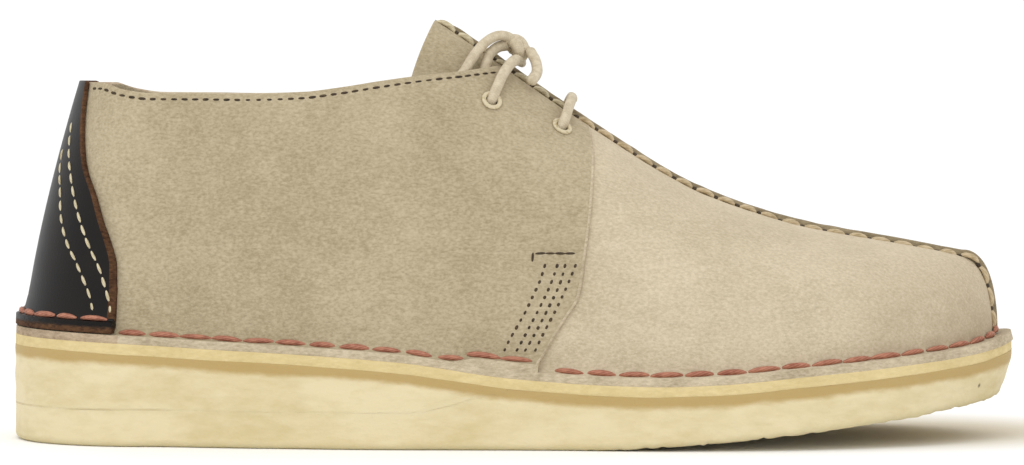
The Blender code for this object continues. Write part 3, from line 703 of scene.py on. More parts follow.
def stitch(
    length: float, width: float, height: float, sink: float, around: int = 8
) -> bpy.types.Object:
    """One stitch: a plump run of thread that dives into its holes at both ends.

    Args:
        length: from hole to hole.
        width: across the thread.
        height: of its back over the leather.
        sink: how deep its ends go.
        around: faces round it.

    Returns:
        The stitch, along x with z outward.
    """
    steps = 9
    share = np.linspace(-1, 1, steps)
    arch = 1 - np.abs(share) ** 2.6
    rise = arch * (height - width / 2 + sink) - sink
    path = np.stack((share * length / 2, np.zeros(steps), rise), axis=-1)
    return tube("stitch", path, width / 2, around, 0.9,
                lambda s: 0.48 + 0.52 * (1 - np.abs(2 * s - 1) ** 2.6))


def fill_inputs(tree: bpy.types.NodeTree, node: bpy.types.Node, inputs: dict) -> None:
    """Link or set a node's inputs, given by name or number."""
    for key, value in inputs.items():
        if isinstance(value, bpy.types.NodeSocket):
            tree.links.new(value, node.inputs[key])
        else:
            node.inputs[key].default_value = value


def add_node(
    tree: bpy.types.NodeTree, kind: str, inputs: dict, give: str | int = 0, **settings: object
) -> bpy.types.NodeSocket:
    """Add a node with its settings and links.

    Args:
        tree: the material's node tree.
        kind: the node's type, without ShaderNode in front.
        inputs: a value or another node's output for each input, by name or number.
        give: the output to hand back.
        settings: the node's properties; stops lists the places and hex colours of a colour ramp.

    Returns:
        The chosen output.
    """
    node = tree.nodes.new("ShaderNode" + kind)
    for k, (at, code) in enumerate(settings.pop("stops", ())):
        elements = node.color_ramp.elements
        element = elements[k] if k < 2 else elements.new(at)
        element.position, element.color = at, hex_linear(code)
    for key, value in settings.items():
        setattr(node, key, value)
    fill_inputs(tree, node, inputs)
    return node.outputs[give]


def blank_material(
    name: str,
) -> tuple[bpy.types.Material, bpy.types.NodeTree, bpy.types.NodeSocket]:
    """A new material with its tree and each point's place in its object."""
    made = bpy.data.materials.new(name)
    made.use_nodes = True
    return made, made.node_tree, add_node(made.node_tree, "TexCoord", {}, "Object")


def set_shader(
    made: bpy.types.Material, inputs: dict, relief: bpy.types.NodeSocket | None = None,
    strength: float = 0.0, depth: float = 0.0,
) -> bpy.types.Material:
    """Fill a material's main shader.

    Args:
        made: the material.
        inputs: the shader's values and links.
        relief: height for its bump, if it has one.
        strength: of the bump.
        depth: of the bump.

    Returns:
        The material.
    """
    tree = made.node_tree
    if relief is not None:
        inputs["Normal"] = add_node(
            tree, "Bump", {"Strength": strength, "Distance": depth, "Height": relief})
    fill_inputs(tree, tree.nodes["Principled BSDF"], inputs)
    return made


@dataclass(frozen=True)
class Suede:
    """Suede: the flesh side of cowhide, buffed to a short nap.

    The nap scatters light evenly, so it is matt with a pale sheen at grazing angles. Fibres lie in
    tufts well under a millimetre wide, brushed along the shoe, and the hide's density shows as
    faint clouds. It can be given a darker tone low on the toe, in patches.
    """

    name: str
    light: str
    dark: str
    tuft: float = 0.0007
    cloud: float = 0.026
    streak: float = 0.026 / 6
    brushing: tuple[float, float, float] = (0.55, 1, 1)
    darker_tone: str | None = None
    darker_ahead: tuple[float, float] = (0.088, 0.124)
    darker_below: tuple[float, float] = (0.062, 0.036)

    def worn(
        self, tree: bpy.types.NodeTree, where: bpy.types.NodeSocket, streaks: bpy.types.NodeSocket
    ) -> bpy.types.NodeSocket:
        """How much of the darker tone to mix in: most in front and low down, in patches."""
        shares = []
        for axis, (start, end) in (("X", self.darker_ahead), ("Z", self.darker_below)):
            at = add_node(tree, "SeparateXYZ", {0: where}, axis)
            shares.append(add_node(tree, "MapRange", {0: at, 1: start, 2: end},
                                   interpolation_type="SMOOTHSTEP"))
        place = add_node(tree, "Math", {0: shares[0], 1: shares[1]}, operation="MULTIPLY")
        patchy = add_node(tree, "Math", {0: streaks, 1: 1.0, 2: -0.22}, operation="MULTIPLY_ADD")
        return add_node(tree, "Math", {0: place, 1: patchy}, operation="MULTIPLY", use_clamp=True)

    def make(self) -> bpy.types.Material:
        """Build the material."""
        made, tree, where = blank_material(self.name)
        brushed = add_node(tree, "Mapping", {"Vector": where, "Scale": self.brushing})
        tufts, clouds, streaks = (
            add_node(tree, "TexNoise", {"Vector": place, "Scale": 1 / size, "Detail": detail,
                                        "Roughness": rough})
            for place, size, detail, rough in (
                (brushed, self.tuft, 4, 0.7), (where, self.cloud, 3, 0.5),
                (brushed, self.streak, 4, 0.65)))
        spots = add_node(tree, "Math", {0: streaks, 1: 0.16}, operation="MULTIPLY")
        for source, share in ((clouds, 0.22), (tufts, 0.62)):
            spots = add_node(tree, "Math", {0: source, 1: share, 2: spots},
                             operation="MULTIPLY_ADD")
        colour = add_node(tree, "ValToRGB", {0: spots},
                          stops=((0.38, self.dark), (0.62, self.light)))
        # Darker towards the front and bottom of the toe, in patches, where a darker tone is given
        if self.darker_tone:
            worn = self.worn(tree, where, streaks)
            colour = add_node(tree, "Mix", {0: worn, 6: colour, 7: hex_linear(self.darker_tone)}, 2,
                              data_type="RGBA")
        return set_shader(made, {
            "Base Color": colour, "Roughness": 0.93, "IOR": 1.45, "Specular IOR Level": 0.12,
            "Sheen Weight": 0.16, "Sheen Roughness": 0.6, "Sheen Tint": hex_linear("E6DCCB"),
        }, spots, 0.7, 0.0004)


@dataclass(frozen=True)
class CutEdge:
    """A knife-cut edge of hide: the fibres stand loose in level layers, so it is matt and mottled.

    Where the hide was dyed and burnished after cutting, the dye has soaked a little way down the
    edge; that needs the depth under the edge's top, stored on the mesh as below_top.
    """

    name: str
    light: str
    dark: str
    fibre: float = 0.0010
    cloud: float = 0.012
    dye: str | None = None
    dye_depth: tuple[float, float] = (0.0032, 0.0020)
    dye_ragged: float = 0.0016

    def make(self) -> bpy.types.Material:
        """Build the material."""
        made, tree, where = blank_material(self.name)
        layered = add_node(tree, "Mapping", {"Vector": where, "Scale": (0.5, 0.5, 1.3)})
        fibres = add_node(tree, "TexNoise", {"Vector": layered, "Scale": 1 / self.fibre,
                                             "Detail": 5, "Roughness": 0.7})
        clouds = add_node(tree, "TexNoise", {"Vector": where, "Scale": 1 / self.cloud})
        slow = add_node(tree, "Math", {0: clouds, 1: 0.35}, operation="MULTIPLY")
        spots = add_node(tree, "Math", {0: fibres, 1: 0.65, 2: slow}, operation="MULTIPLY_ADD")
        colour = add_node(tree, "ValToRGB", {0: spots},
                          stops=((0.36, self.dark), (0.66, self.light)))
        gloss = 0.95
        if self.dye:
            below = add_node(tree, "Attribute", {}, "Fac", attribute_name="below_top")
            depth = add_node(tree, "Math", {0: fibres, 1: self.dye_ragged, 2: below},
                             operation="MULTIPLY_ADD")
            soaked = add_node(tree, "MapRange",
                              {0: depth, 1: self.dye_depth[0], 2: self.dye_depth[1]},
                              interpolation_type="SMOOTHSTEP")
            colour = add_node(tree, "Mix", {0: soaked, 6: colour, 7: hex_linear(self.dye)}, 2,
                              data_type="RGBA")
            gloss = add_node(tree, "MapRange", {0: soaked, 3: 0.9, 4: 0.4})
        looks = {"Base Color": colour, "Roughness": gloss, "Specular IOR Level": 0.15}
        return set_shader(made, looks, fibres, 0.8, 0.0005)


@dataclass(frozen=True)
class SmoothHide:
    """Finished full-grain leather: fine creased grain under a thin polish, so it has a soft gloss."""

    name: str
    light: str
    dark: str
    roughness: float = 0.38
    grain: float = 0.0011
    cloud: float = 0.014
    specular: float = 0.5

    def make(self) -> bpy.types.Material:
        """Build the material."""
        made, tree, where = blank_material(self.name)
        clouds = add_node(tree, "TexNoise", {"Vector": where, "Scale": 1 / self.cloud, "Detail": 4})
        cells = add_node(tree, "TexVoronoi", {"Vector": where, "Scale": 1 / self.grain},
                         feature="DISTANCE_TO_EDGE")
        colour = add_node(tree, "ValToRGB", {0: clouds},
                          stops=((0.32, self.dark), (0.72, self.light)))
        uneven = add_node(tree, "MapRange",
                          {0: clouds, 3: self.roughness - 0.08, 4: self.roughness + 0.12})
        looks = {"Base Color": colour, "Roughness": uneven, "Specular IOR Level": self.specular}
        return set_shader(made, looks, cells, 0.25, 0.0002)


@dataclass(frozen=True)
class Crepe:
    """Natural crepe rubber: coagulated latex rolled to sheets, slightly see-through.

    The milled sheet is cloudy and faintly rippled. A darker ochre band about 3 mm deep lies below
    the midsole, the joint of wedge and tread sheet shows as a broken line, and the lowest few
    millimetres of the cut foot are darker and greyer.
    """

    name: str = "natural crepe rubber, milled and cut"
    pale: str = "DCCEA8"
    deep: str = "CDBD90"
    ochre_band_tone: str = "B0945A"
    foot: str = "C2B68C"
    seam: str = "A98F5E"
    grit: str = "6B5A3C"
    cloud: float = 0.011
    ripple: float = 0.0022
    crumb: float = 0.0009
    wave: float = 0.0036
    band: tuple[float, float] = (0.0062, 0.0040)
    foot_height: float = 0.0026
    joint: float = 0.0112
    joint_half: float = 0.0003
    joint_behind: tuple[float, float] = (-0.045, -0.075)
    speck: tuple[float, float, float] = (0.1397, -0.0206, 0.0169)
    speck_reach: tuple[float, float] = (0.0010, 0.0005)

    def make(self) -> bpy.types.Material:
        """Build the material. It reads the heights that Sole stores on the mesh."""
        made, tree, where = blank_material(self.name)
        level = add_node(tree, "Mapping", {"Vector": where, "Scale": (0.4, 0.4, 1)})
        clouds, ripple, crumb = (
            add_node(tree, "TexNoise", {"Vector": place, "Scale": 1 / size, "Detail": detail,
                                        "Roughness": 0.6})
            for place, size, detail in ((level, self.cloud, 4), (level, self.ripple, 4),
                                        (where, self.crumb, 3)))
        fine = add_node(tree, "Math", {0: ripple, 1: 0.3}, operation="MULTIPLY")
        mottle = add_node(tree, "Math", {0: clouds, 1: 0.7, 2: fine}, operation="MULTIPLY_ADD")
        colour = add_node(tree, "ValToRGB", {0: mottle},
                          stops=((0.34, self.deep), (0.58, self.pale)))
        below = add_node(tree, "Attribute", {}, "Fac", attribute_name="below_top")
        above = add_node(tree, "Attribute", {}, "Fac", attribute_name="above_tread")
        # A darker ochre band below the midsole, with a wavy lower edge
        wavy = add_node(tree, "Math", {0: mottle, 1: self.wave, 2: below},
                        operation="MULTIPLY_ADD")
        band = add_node(tree, "MapRange",
                        {0: wavy, 1: self.band[0], 2: self.band[1], 3: 0, 4: 0.9},
                        interpolation_type="SMOOTHSTEP")
        # Darker and greyer towards the foot of the sole
        low = add_node(tree, "MapRange", {0: above, 1: self.foot_height, 2: 0.0, 3: 0, 4: 0.6},
                       interpolation_type="SMOOTHSTEP")
        line = add_node(tree, "Math", {0: above, 1: self.joint, 2: self.joint_half},
                        operation="COMPARE")
        broken = add_node(tree, "MapRange", {0: clouds, 1: 0.46, 2: 0.60, 3: 0, 4: 0.4})
        along = add_node(tree, "SeparateXYZ", {0: where}, "X")
        behind = add_node(tree, "MapRange",
                          {0: along, 1: self.joint_behind[0], 2: self.joint_behind[1]},
                          interpolation_type="SMOOTHSTEP")
        for share in (broken, behind):
            line = add_node(tree, "Math", {0: line, 1: share}, operation="MULTIPLY")
        apart = add_node(tree, "VectorMath", {0: where, 1: self.speck}, "Value",
                         operation="DISTANCE")
        spot = add_node(tree, "MapRange",
                        {0: apart, 1: self.speck_reach[0], 2: self.speck_reach[1]})
        for share, stain in ((band, self.ochre_band_tone), (low, self.foot), (line, self.seam),
                             (spot, self.grit)):
            colour = add_node(tree, "Mix", {0: share, 6: colour, 7: hex_linear(stain)}, 2,
                              data_type="RGBA")
        relief = add_node(tree, "Math", {0: crumb, 1: 0.4, 2: ripple}, operation="MULTIPLY_ADD")
        return set_shader(made, {
            "Base Color": colour, "Roughness": 0.62, "IOR": 1.52, "Specular IOR Level": 0.3,
            "Subsurface Weight": 0.10, "Subsurface Radius": (0.004, 0.0025, 0.001),
            "Subsurface Scale": 1.0,
        }, relief, 0.45, 0.0005)


@dataclass(frozen=True)
class Thread:
    """Waxed sewing thread: plies laid side by side, so it shows faint slanting ridges."""

    name: str
    light: str
    dark: str
    ply: float = 0.0007
    speck: float = 0.0022
    roughness: float = 0.6

    def make(self) -> bpy.types.Material:
        """Build the material. It reads UVs in metres along and round the thread."""
        made, tree, where = blank_material(self.name)
        strip = add_node(tree, "TexCoord", {}, "UV")
        twist = add_node(tree, "Mapping", {"Vector": strip, "Rotation": (0, 0, 1.25)})
        plies = add_node(tree, "TexWave", {"Vector": twist, "Scale": WAVE / self.ply,
                                           "Distortion": 1.2, "Detail": 2, "Detail Scale": 2},
                         "Fac")
        specks = add_node(tree, "TexNoise", {"Vector": where, "Scale": 1 / self.speck, "Detail": 4})
        worn = add_node(tree, "Math", {0: specks, 1: 0.8}, operation="MULTIPLY")
        shade = add_node(tree, "Math", {0: plies, 1: 0.2, 2: worn}, operation="MULTIPLY_ADD")
        colour = add_node(tree, "ValToRGB", {0: shade},
                          stops=((0.30, self.dark), (0.64, self.light)))
        looks = {"Base Color": colour, "Roughness": self.roughness, "Specular IOR Level": 0.25}
        return set_shader(made, looks, shade, 0.3, 0.0002)


@dataclass(frozen=True)
class WaxedLace:
    """Round cotton lace: a tight braid filled with wax, so it is nearly smooth and dull."""

    name: str = "cotton lace, braided and waxed"
    light: str = "D0C3A9"
    dark: str = "B3A58A"
    strand: float = 0.0006
    fuzz: float = 0.002
    braid_turn: float = 0.62

    def make(self) -> bpy.types.Material:
        """Build the material. It reads UVs in metres along and round the lace."""
        made, tree, where = blank_material(self.name)
        strip = add_node(tree, "TexCoord", {}, "UV")
        crossed = []
        for turn in (self.braid_turn, -self.braid_turn):
            laid = add_node(tree, "Mapping", {"Vector": strip, "Rotation": (0, 0, turn)})
            crossed.append(add_node(tree, "TexWave", {"Vector": laid, "Scale": WAVE / self.strand},
                                    "Fac"))
        braid = add_node(tree, "Math", {0: crossed[0], 1: crossed[1]}, operation="MULTIPLY")
        clouds = add_node(tree, "TexNoise", {"Vector": where, "Scale": 1 / self.fuzz, "Detail": 5,
                                             "Roughness": 0.7})
        soft = add_node(tree, "Math", {0: clouds, 1: 0.9}, operation="MULTIPLY")
        shade = add_node(tree, "Math", {0: braid, 1: 0.15, 2: soft}, operation="MULTIPLY_ADD")
        colour = add_node(tree, "ValToRGB", {0: shade},
                          stops=((0.34, self.dark), (0.62, self.light)))
        return set_shader(made, {"Base Color": colour, "Roughness": 0.75,
                                 "Specular IOR Level": 0.25, "Sheen Weight": 0.1},
                          shade, 0.3, 0.0002)


@dataclass(frozen=True)
class EnamelledBrass:
    """Enamelled brass: a stamped eyelet under an even coat of paint, smooth with a sharp shine."""

    name: str = "enamelled brass, stamped"
    paint: str = "CBBE9E"
    worn: str = "A9976C"
    speck: float = 0.0012

    def make(self) -> bpy.types.Material:
        """Build the material."""
        made, tree, where = blank_material(self.name)
        specks = add_node(tree, "TexNoise", {"Vector": where, "Scale": 1 / self.speck, "Detail": 4})
        colour = add_node(tree, "ValToRGB", {0: specks},
                          stops=((0.30, self.worn), (0.48, self.paint)))
        return set_shader(made, {"Base Color": colour, "Roughness": 0.35}, specks, 0.1, 0.0001)


@dataclass(frozen=True)
class Finishes:
    """Every finish of the shoe, made once."""

    quarter_suede: bpy.types.Material
    vamp_suede: bpy.types.Material
    suede_edge: bpy.types.Material
    heel_edge: bpy.types.Material
    ridge_edge: bpy.types.Material
    flesh: bpy.types.Material
    counter_hide: bpy.types.Material
    counter_edge: bpy.types.Material
    crepe: bpy.types.Material
    midsole: bpy.types.Material
    insole: bpy.types.Material
    rust_thread: bpy.types.Material
    cream_thread: bpy.types.Material
    tan_thread: bpy.types.Material
    dark_thread: bpy.types.Material
    lace: bpy.types.Material
    brass: bpy.types.Material

    @classmethod
    def make(cls) -> "Finishes":
        """Build the whole set."""
        return cls(
            quarter_suede=Suede("cowhide suede, buffed, sand", "BCAE92", "998B6E").make(),
            # The vamp's suede is paler than the quarters': partly its own tone, partly painted light
            # from above on its upturned face
            vamp_suede=Suede("cowhide suede, buffed, pale sand", "D1C3A9", "B3A58A",
                             darker_tone="8E7A5E").make(),
            # The cut edge's colour is partly its own pale tone and partly a painted highlight of the
            # flange's lit rounded top
            suede_edge=CutEdge("cowhide suede, knife-cut edge", "D6C7AC", "A6977D").make(),
            heel_edge=CutEdge("cowhide suede, knife-cut fuzzy edge", "C8B499", "948068").make(),
            ridge_edge=CutEdge("cowhide suede, skived seam edge", "A59578", "75684F").make(),
            flesh=Suede("cowhide, split back", "C9BCA0", "A89A7E", tuft=0.0012).make(),
            counter_hide=SmoothHide("full-grain cowhide, dyed black and polished",
                                    "15100D", "0A0706", 0.42, specular=0.22).make(),
            counter_edge=CutEdge("full-grain cowhide, bare brown edge", "6A4C34", "342014",
                                 dye="0F0B09").make(),
            crepe=Crepe().make(),
            midsole=CutEdge("microcellular rubber sheet, cut", "DFCC9A", "CDB986", 0.0016).make(),
            insole=SmoothHide("vegetable-tanned leather", "B39570", "927552", 0.6,
                              specular=0.3).make(),
            rust_thread=Thread("waxed linen thread, rust", "B97F67", "8A5341").make(),
            cream_thread=Thread("waxed linen thread, cream", "D2C7A8", "AA9C7A").make(),
            tan_thread=Thread("waxed linen thread, tan", "CAB796", "A4906C").make(),
            dark_thread=Thread("bonded nylon thread, dark brown", "4B3D2A", "2A2117").make(),
            lace=WaxedLace().make(),
            brass=EnamelledBrass().make(),
        )


def dress(obj: bpy.types.Object, *finishes: bpy.types.Material) -> None:
    """Give an object its materials, in the order of its material numbers."""
    obj.data.materials.clear()
    for finish in finishes:
        obj.data.materials.append(finish)


def heel_to_toe(heel: int, side: int, toe: int, end: float = 3.0) -> np.ndarray:
    """Stations round one side of the shoe, closer together where it curves."""
    stations = np.concatenate((np.linspace(0, 1, heel, endpoint=False),
                               np.linspace(1, 2, side, endpoint=False), np.linspace(2, 3, toe)))
    kept = stations[stations < end - 1e-6]
    return np.append(kept, end)


@dataclass
class Sole:
    """Crepe outsole with its heel wedge, and the thin midsole sheet over them."""

    last: Last
    finishes: Finishes
    rows: int = 16
    across: int = 12
    edge_round: float = 0.0018
    ragged: float = 0.0008
    wedge_sink: float = 0.0004
    toe_tuck: float = 0.0034

    def slab(
        self, name: str, low: Callable, high: Callable, end: float, inset: float,
        edges: tuple[float, float], rows: int, tuck: float = 0.0,
    ) -> bpy.types.Object:
        """A layer of the sole: a grid wrapped round each section and welded shut.

        Args:
            name: the new object's name.
            low: height of its bottom along the shoe.
            high: height of its top.
            end: its last station.
            inset: of its side wall from the sole's edge.
            edges: radii of its bottom and top edges.
            rows: rows of its side wall.
            tuck: how far its foot is trimmed back at the toe.

        Returns:
            The closed mesh object, with its height measures stored on it.
        """
        stations = heel_to_toe(44, 180, 60, end)
        turn = np.linspace(0, math.pi / 2, 4)
        wall = [(edges[0] * (1 - math.sin(t)), 0.0, edges[0] * (1 - math.cos(t))) for t in turn]
        wall += [(0.0, share, 0.0) for share in np.linspace(0, 1, rows)[1:-1]]
        wall += [(edges[1] * (1 - math.cos(t)), 1.0, -edges[1] * (1 - math.sin(t)))
                 for t in turn]
        sections = {}
        for side in (-1, 1):
            columns = []
            for extra, share, lift in wall:
                plan = self.last.outline(stations, side, inset + extra)
                trim = soft_step(plan[:, :1], self.last.toe_start + 0.035, self.last.length)
                slope = self.last.outline(stations, side, inset + extra + tuck)
                plan = plan + (slope - plan) * trim * (1 - share) ** 1.6
                x = plan[:, 0]
                bottom, top = low(x), high(x)
                body_low, body_high = bottom + edges[0], top - edges[1]
                if share == 0.0 and extra + lift > 0:
                    z = bottom + lift
                elif share == 1.0:
                    z = top + lift
                else:
                    z = body_low + share * (body_high - body_low)
                columns.append(np.stack((x, plan[:, 1], z), axis=-1))
            sections[side] = np.stack(columns, axis=1)
        near, far = sections[-1], sections[1]
        shares = np.linspace(0, 1, self.across + 2)[1:-1, None, None]
        under = np.swapaxes(far[None, :, 0] * (1 - shares) + near[None, :, 0] * shares, 0, 1)
        over = np.swapaxes(near[None, :, -1] * (1 - shares) + far[None, :, -1] * shares, 0, 1)
        loop = np.concatenate((near, over, far[:, ::-1], under, near[:, :1]), axis=1)
        loop = self.last.place(loop)
        obj = laid_grid(name, loop)
        weld(obj, 2e-6)
        if end < 3:
            select_only(obj)
            bpy.ops.object.mode_set(mode="EDIT")
            bpy.ops.mesh.select_all(action="DESELECT")
            bpy.ops.mesh.select_non_manifold()
            bpy.ops.mesh.fill()
            bpy.ops.mesh.select_all(action="SELECT")
            bpy.ops.mesh.normals_make_consistent(inside=False)
            bpy.ops.object.mode_set(mode="OBJECT")
        self.last.store(obj, "below_top", lambda x, z: self.last.sole_line(x) - z)
        self.last.store(obj, "above_tread", lambda x, z: z - self.last.tread(x))
        return obj

    def roughen(self, obj: bpy.types.Object) -> None:
        """Move the crepe's skin by a little, and crumble its lower edge in front of the arch."""
        mesh = obj.data
        normals = np.array([v.normal for v in mesh.vertices])
        points = np.array([v.co for v in mesh.vertices])
        x = points[:, 0] + self.last.length / 2
        above = points[:, 2] - self.last.tread(x)
        front = soft_step(x, 0.150, 0.185)
        low = 1 - soft_step(above, 0.0008, 0.0045)
        for k, point in enumerate(points):
            place = Vector(point)
            swell = 0.00022 * noise.noise(Vector((place.x * 70, place.y * 70, place.z * 260)))
            torn = noise.noise(place * 420) + 0.7 * noise.noise(place * 900)
            move = normals[k] * swell
            if above[k] > 1e-5:
                move = move + np.array((0, 0, 1.0)) * torn * self.ragged * low[k] * front[k]
                move = move + normals[k] * torn * 0.5 * self.ragged * low[k] * front[k]
            elif front[k] > 0:
                lift = max(torn, 0.0) * self.ragged * front[k] * 1.4
                move = np.array((move[0] * 0.3, move[1] * 0.3, lift))
            else:
                move = np.array((move[0] * 0.3, move[1] * 0.3, 0.0))
            points[k] += move
        points[:, 2] = np.maximum(points[:, 2], 0.0)
        mesh.vertices.foreach_set("co", points.ravel())
        mesh.update()

    def build(self) -> None:
        """Make and dress the sole's layers."""
        last = self.last
        outsole = self.slab("crepe_outsole", last.tread, last.sheet_line, 3.0, 0.0,
                            (self.edge_round, 0.00001), self.rows, self.toe_tuck)
        wedge_end = float(last.station_at(np.array(last.wedge_length - last.clearance)))
        wedge = self.slab("crepe_heel_wedge", lambda x: last.sheet_line(x) - self.wedge_sink,
                          last.sole_line, wedge_end, 0.0, (0.00001, 0.0002), self.rows)
        for obj, node in ((outsole, "outsole"), (wedge, "heel_wedge")):
            self.roughen(obj)
            dress(obj, self.finishes.crepe)
            smooth(obj, 50)
            carry(obj, node, node)
        strip = self.slab("midsole_strip", lambda x: last.sole_line(x) - 0.0003,
                          lambda x: last.midsole_top(x) + 0.0006, 3.0, 0.0001,
                          (0.0003, 0.0003), 5)
        dress(strip, self.finishes.midsole)
        smooth(strip, 50)
        carry(strip, "midsole", "midsole")


@dataclass
class Upper:
    """Vamp, quarters, centre ridge, tongue and insole, each laid on the last."""

    last: Last
    finishes: Finishes
    wall: float = 0.0027
    quarter_swell: float = 0.0014
    corner: float = 0.0016
    wall_rows: int = 44
    ridge_width: float = 0.0036
    ridge_height: float = 0.0018
    front_foot: float = 0.1589
    front_top: float = 0.1746
    collar_corner: float = 0.147
    counter_wall: float = 0.0013
    counter_flange: float = 0.0034
    skived: float = 1.6
    hole: float = 0.0019
    front_press: float = 0.0003
    sheet_wall: float = 0.002
    tongue_half: float = 0.027
    tongue_end: float = 0.1277
    tongue_slant: float = 0.009
    tongue_tuck: float = 0.0090
    tuck_from_to: tuple[float, float] = (0.003, 0.0203)
    front_edge: Table = ((0.00, 0.00), (0.11, 0.25), (0.20, 0.50), (0.30, 0.77), (0.45, 0.88),
                         (0.67, 1.00), (0.86, 1.04), (1.00, 0.97))
    counter_edge: Table = ((0.00, 0.145), (0.10, 0.150), (0.20, 0.190), (0.29, 0.245),
                           (0.40, 0.310), (0.54, 0.430), (0.70, 0.520), (0.86, 0.590),
                           (1.00, 0.640))
    # x, z, half length along x, half width across, lean of the trough, depth; from the heel
    creases: Table = (
        (0.062, 0.082, 0.022, 0.006, 0.35, 0.0006), (0.100, 0.060, 0.030, 0.009, -0.5, 0.0007),
        (0.128, 0.085, 0.018, 0.006, 1.2, 0.0006), (0.196, 0.058, 0.016, 0.005, 0.9, 0.0006),
        (0.212, 0.046, 0.020, 0.005, 0.6, 0.0007), (0.244, 0.040, 0.020, 0.006, 0.2, 0.0005),
    )

    @property
    def counter_swell(self) -> float:
        """Distance of the counter's outer face over the form."""
        return self.quarter_swell + self.last.clearance + self.counter_wall

    def counter_top(self, x: np.ndarray) -> np.ndarray:
        """Height of the counter's turned-out edge."""
        return self.last.quarter_flange_top(x) + self.last.clearance + self.counter_flange

    def relief(self, points: np.ndarray, normals: np.ndarray) -> np.ndarray:
        """Soft troughs and ridges where the leather gives, at listed places."""
        x = points[..., 0] + self.last.length / 2
        z = points[..., 2]
        depth = np.zeros_like(x)
        for at_x, at_z, long, wide, lean, deep in self.creases:
            c, s = math.cos(lean), math.sin(lean)
            along = ((x - at_x) * c + (z - at_z) * s) / long
            across = (-(x - at_x) * s + (z - at_z) * c) / wide
            depth += deep * np.exp(-(along**2)) * (np.exp(-(across**2))
                                                   - 0.6 * np.exp(-((across - 1.7) ** 2)))
        return points - depth[..., None] * normals

    def wall_points(
        self, station: np.ndarray, rise: np.ndarray, side: float, swell: np.ndarray | float
    ) -> np.ndarray:
        """Points of a wall with its creases."""
        points = self.last.point(station, rise, side, swell)
        return self.relief(points, self.last.outward(station, rise, side))

    def flange_rows(
        self, foot: np.ndarray, side: float, top: Callable, swell: float, wall_start: np.ndarray,
        edge: float = 0.0003,
    ) -> np.ndarray:
        """The turned-out edge and the rounded corner up to the wall.

        Args:
            foot: stations of the columns.
            side: -1 near or 1 far.
            top: height of the flange along the shoe.
            swell: of the wall over the form.
            wall_start: the wall's first points.
            edge: inset of the flange's outer edge.

        Returns:
            Columns, rows and x, y, z in the model's frame, from the outer edge inward.
        """
        inner = self.last.flange_width - self.corner - swell
        rows = []
        for inset in np.linspace(edge, inner, 6):
            plan = self.last.outline(foot, side, inset)
            rows.append(self.last.place(np.concatenate((plan, top(plan[:, :1])), axis=1)))
        plan = self.last.outline(foot, side, self.last.flange_width - swell)
        corner = self.last.place(np.concatenate((plan, top(plan[:, :1])), axis=1))
        start, end = rows[-1], wall_start
        for t in (0.25, 0.5, 0.75):
            rows.append((1 - t) ** 2 * start + 2 * t * (1 - t) * corner + t * t * end)
        return np.stack(rows, axis=1)

    def vamp_half(self, side: float) -> np.ndarray:
        """Columns of one half of the vamp, rows from its flange to the crest."""
        last = self.last
        c = np.linspace(0, 1, 76)
        foot = last.vamp_foot_start + c * (last.toe_start - last.vamp_foot_start)
        top = last.vamp_crest_start + c * (last.toe_start - last.vamp_crest_start)
        toe = np.linspace(2, 3, 56)[1:]
        foot_station = np.concatenate((last.station_at(foot), toe))
        rises = 0.03 + 0.97 * np.linspace(0, 1, self.wall_rows)
        leaned = foot[:, None] + (top - foot)[:, None] * last.height_share(rises)[None]
        stations = np.concatenate((last.station_at(leaned), np.repeat(toe[:, None], len(rises), 1)))
        walls = self.wall_points(stations, np.broadcast_to(rises, stations.shape), side, 0.0)
        flange = self.flange_rows(foot_station, side, last.vamp_flange_top, 0.0, walls[:, 0])
        return np.concatenate((flange, walls), axis=1)

    def build_vamp(self) -> None:
        """Make and dress the vamp, welded down the toe and along the crest."""
        near, far = self.vamp_half(-1), self.vamp_half(1)
        near[-1, :, 1] = far[-1, :, 1] = (near[-1, :, 1] + far[-1, :, 1]) / 2
        obj = laid_grid("vamp", np.concatenate((near, far[:, -2::-1]), axis=1))
        weld(obj, 5e-6, closed=False)
        dress(obj, self.finishes.vamp_suede, self.finishes.suede_edge, self.finishes.flesh)
        thicken(obj, self.wall, 0.0005)
        smooth(obj)
        carry(obj, "upper", "upper")

    def quarter_half(self, side: float) -> np.ndarray:
        """Columns of one quarter from the heel to its front edge, rows from flange to top edge."""
        last = self.last
        turn = np.linspace(0, 1, 34, endpoint=False)
        top = np.concatenate((np.linspace(last.heel_round, self.collar_corner, 84, endpoint=False),
                              np.linspace(self.collar_corner, self.front_top, 34)))
        run = self.front_top - self.front_foot
        lean = run * soft_step(top, 0.6 * self.front_top, self.front_top)
        heel_foot = last.outline(turn, side, last.flange_width)[:, 0]
        foot = np.concatenate((heel_foot, top - lean))
        top_at = np.concatenate((heel_foot, top))
        lean = np.concatenate((np.zeros(len(turn)), lean))
        first = last.rise_at_height(foot, last.quarter_flange_top(foot)) + 0.03
        share = np.linspace(0, 1, self.wall_rows)
        rises = first[:, None] + (last.top_rise(top_at) - first)[:, None] * share
        shift = lean[:, None] * through(self.front_edge, 1, last.height_share(rises))
        stations = last.station_at(foot[:, None] + shift)
        stations[: len(turn)] = turn[:, None]
        foot_station = last.station_at(foot)
        foot_station[: len(turn)] = turn
        swell = np.full((len(foot), 1), self.quarter_swell)
        swell[-1:, 0] -= self.front_press
        walls = self.wall_points(stations, rises, side, swell)
        flange = self.flange_rows(foot_station, side, last.quarter_flange_top, self.quarter_swell,
                                  walls[:, 0])
        return np.concatenate((flange, walls), axis=1)

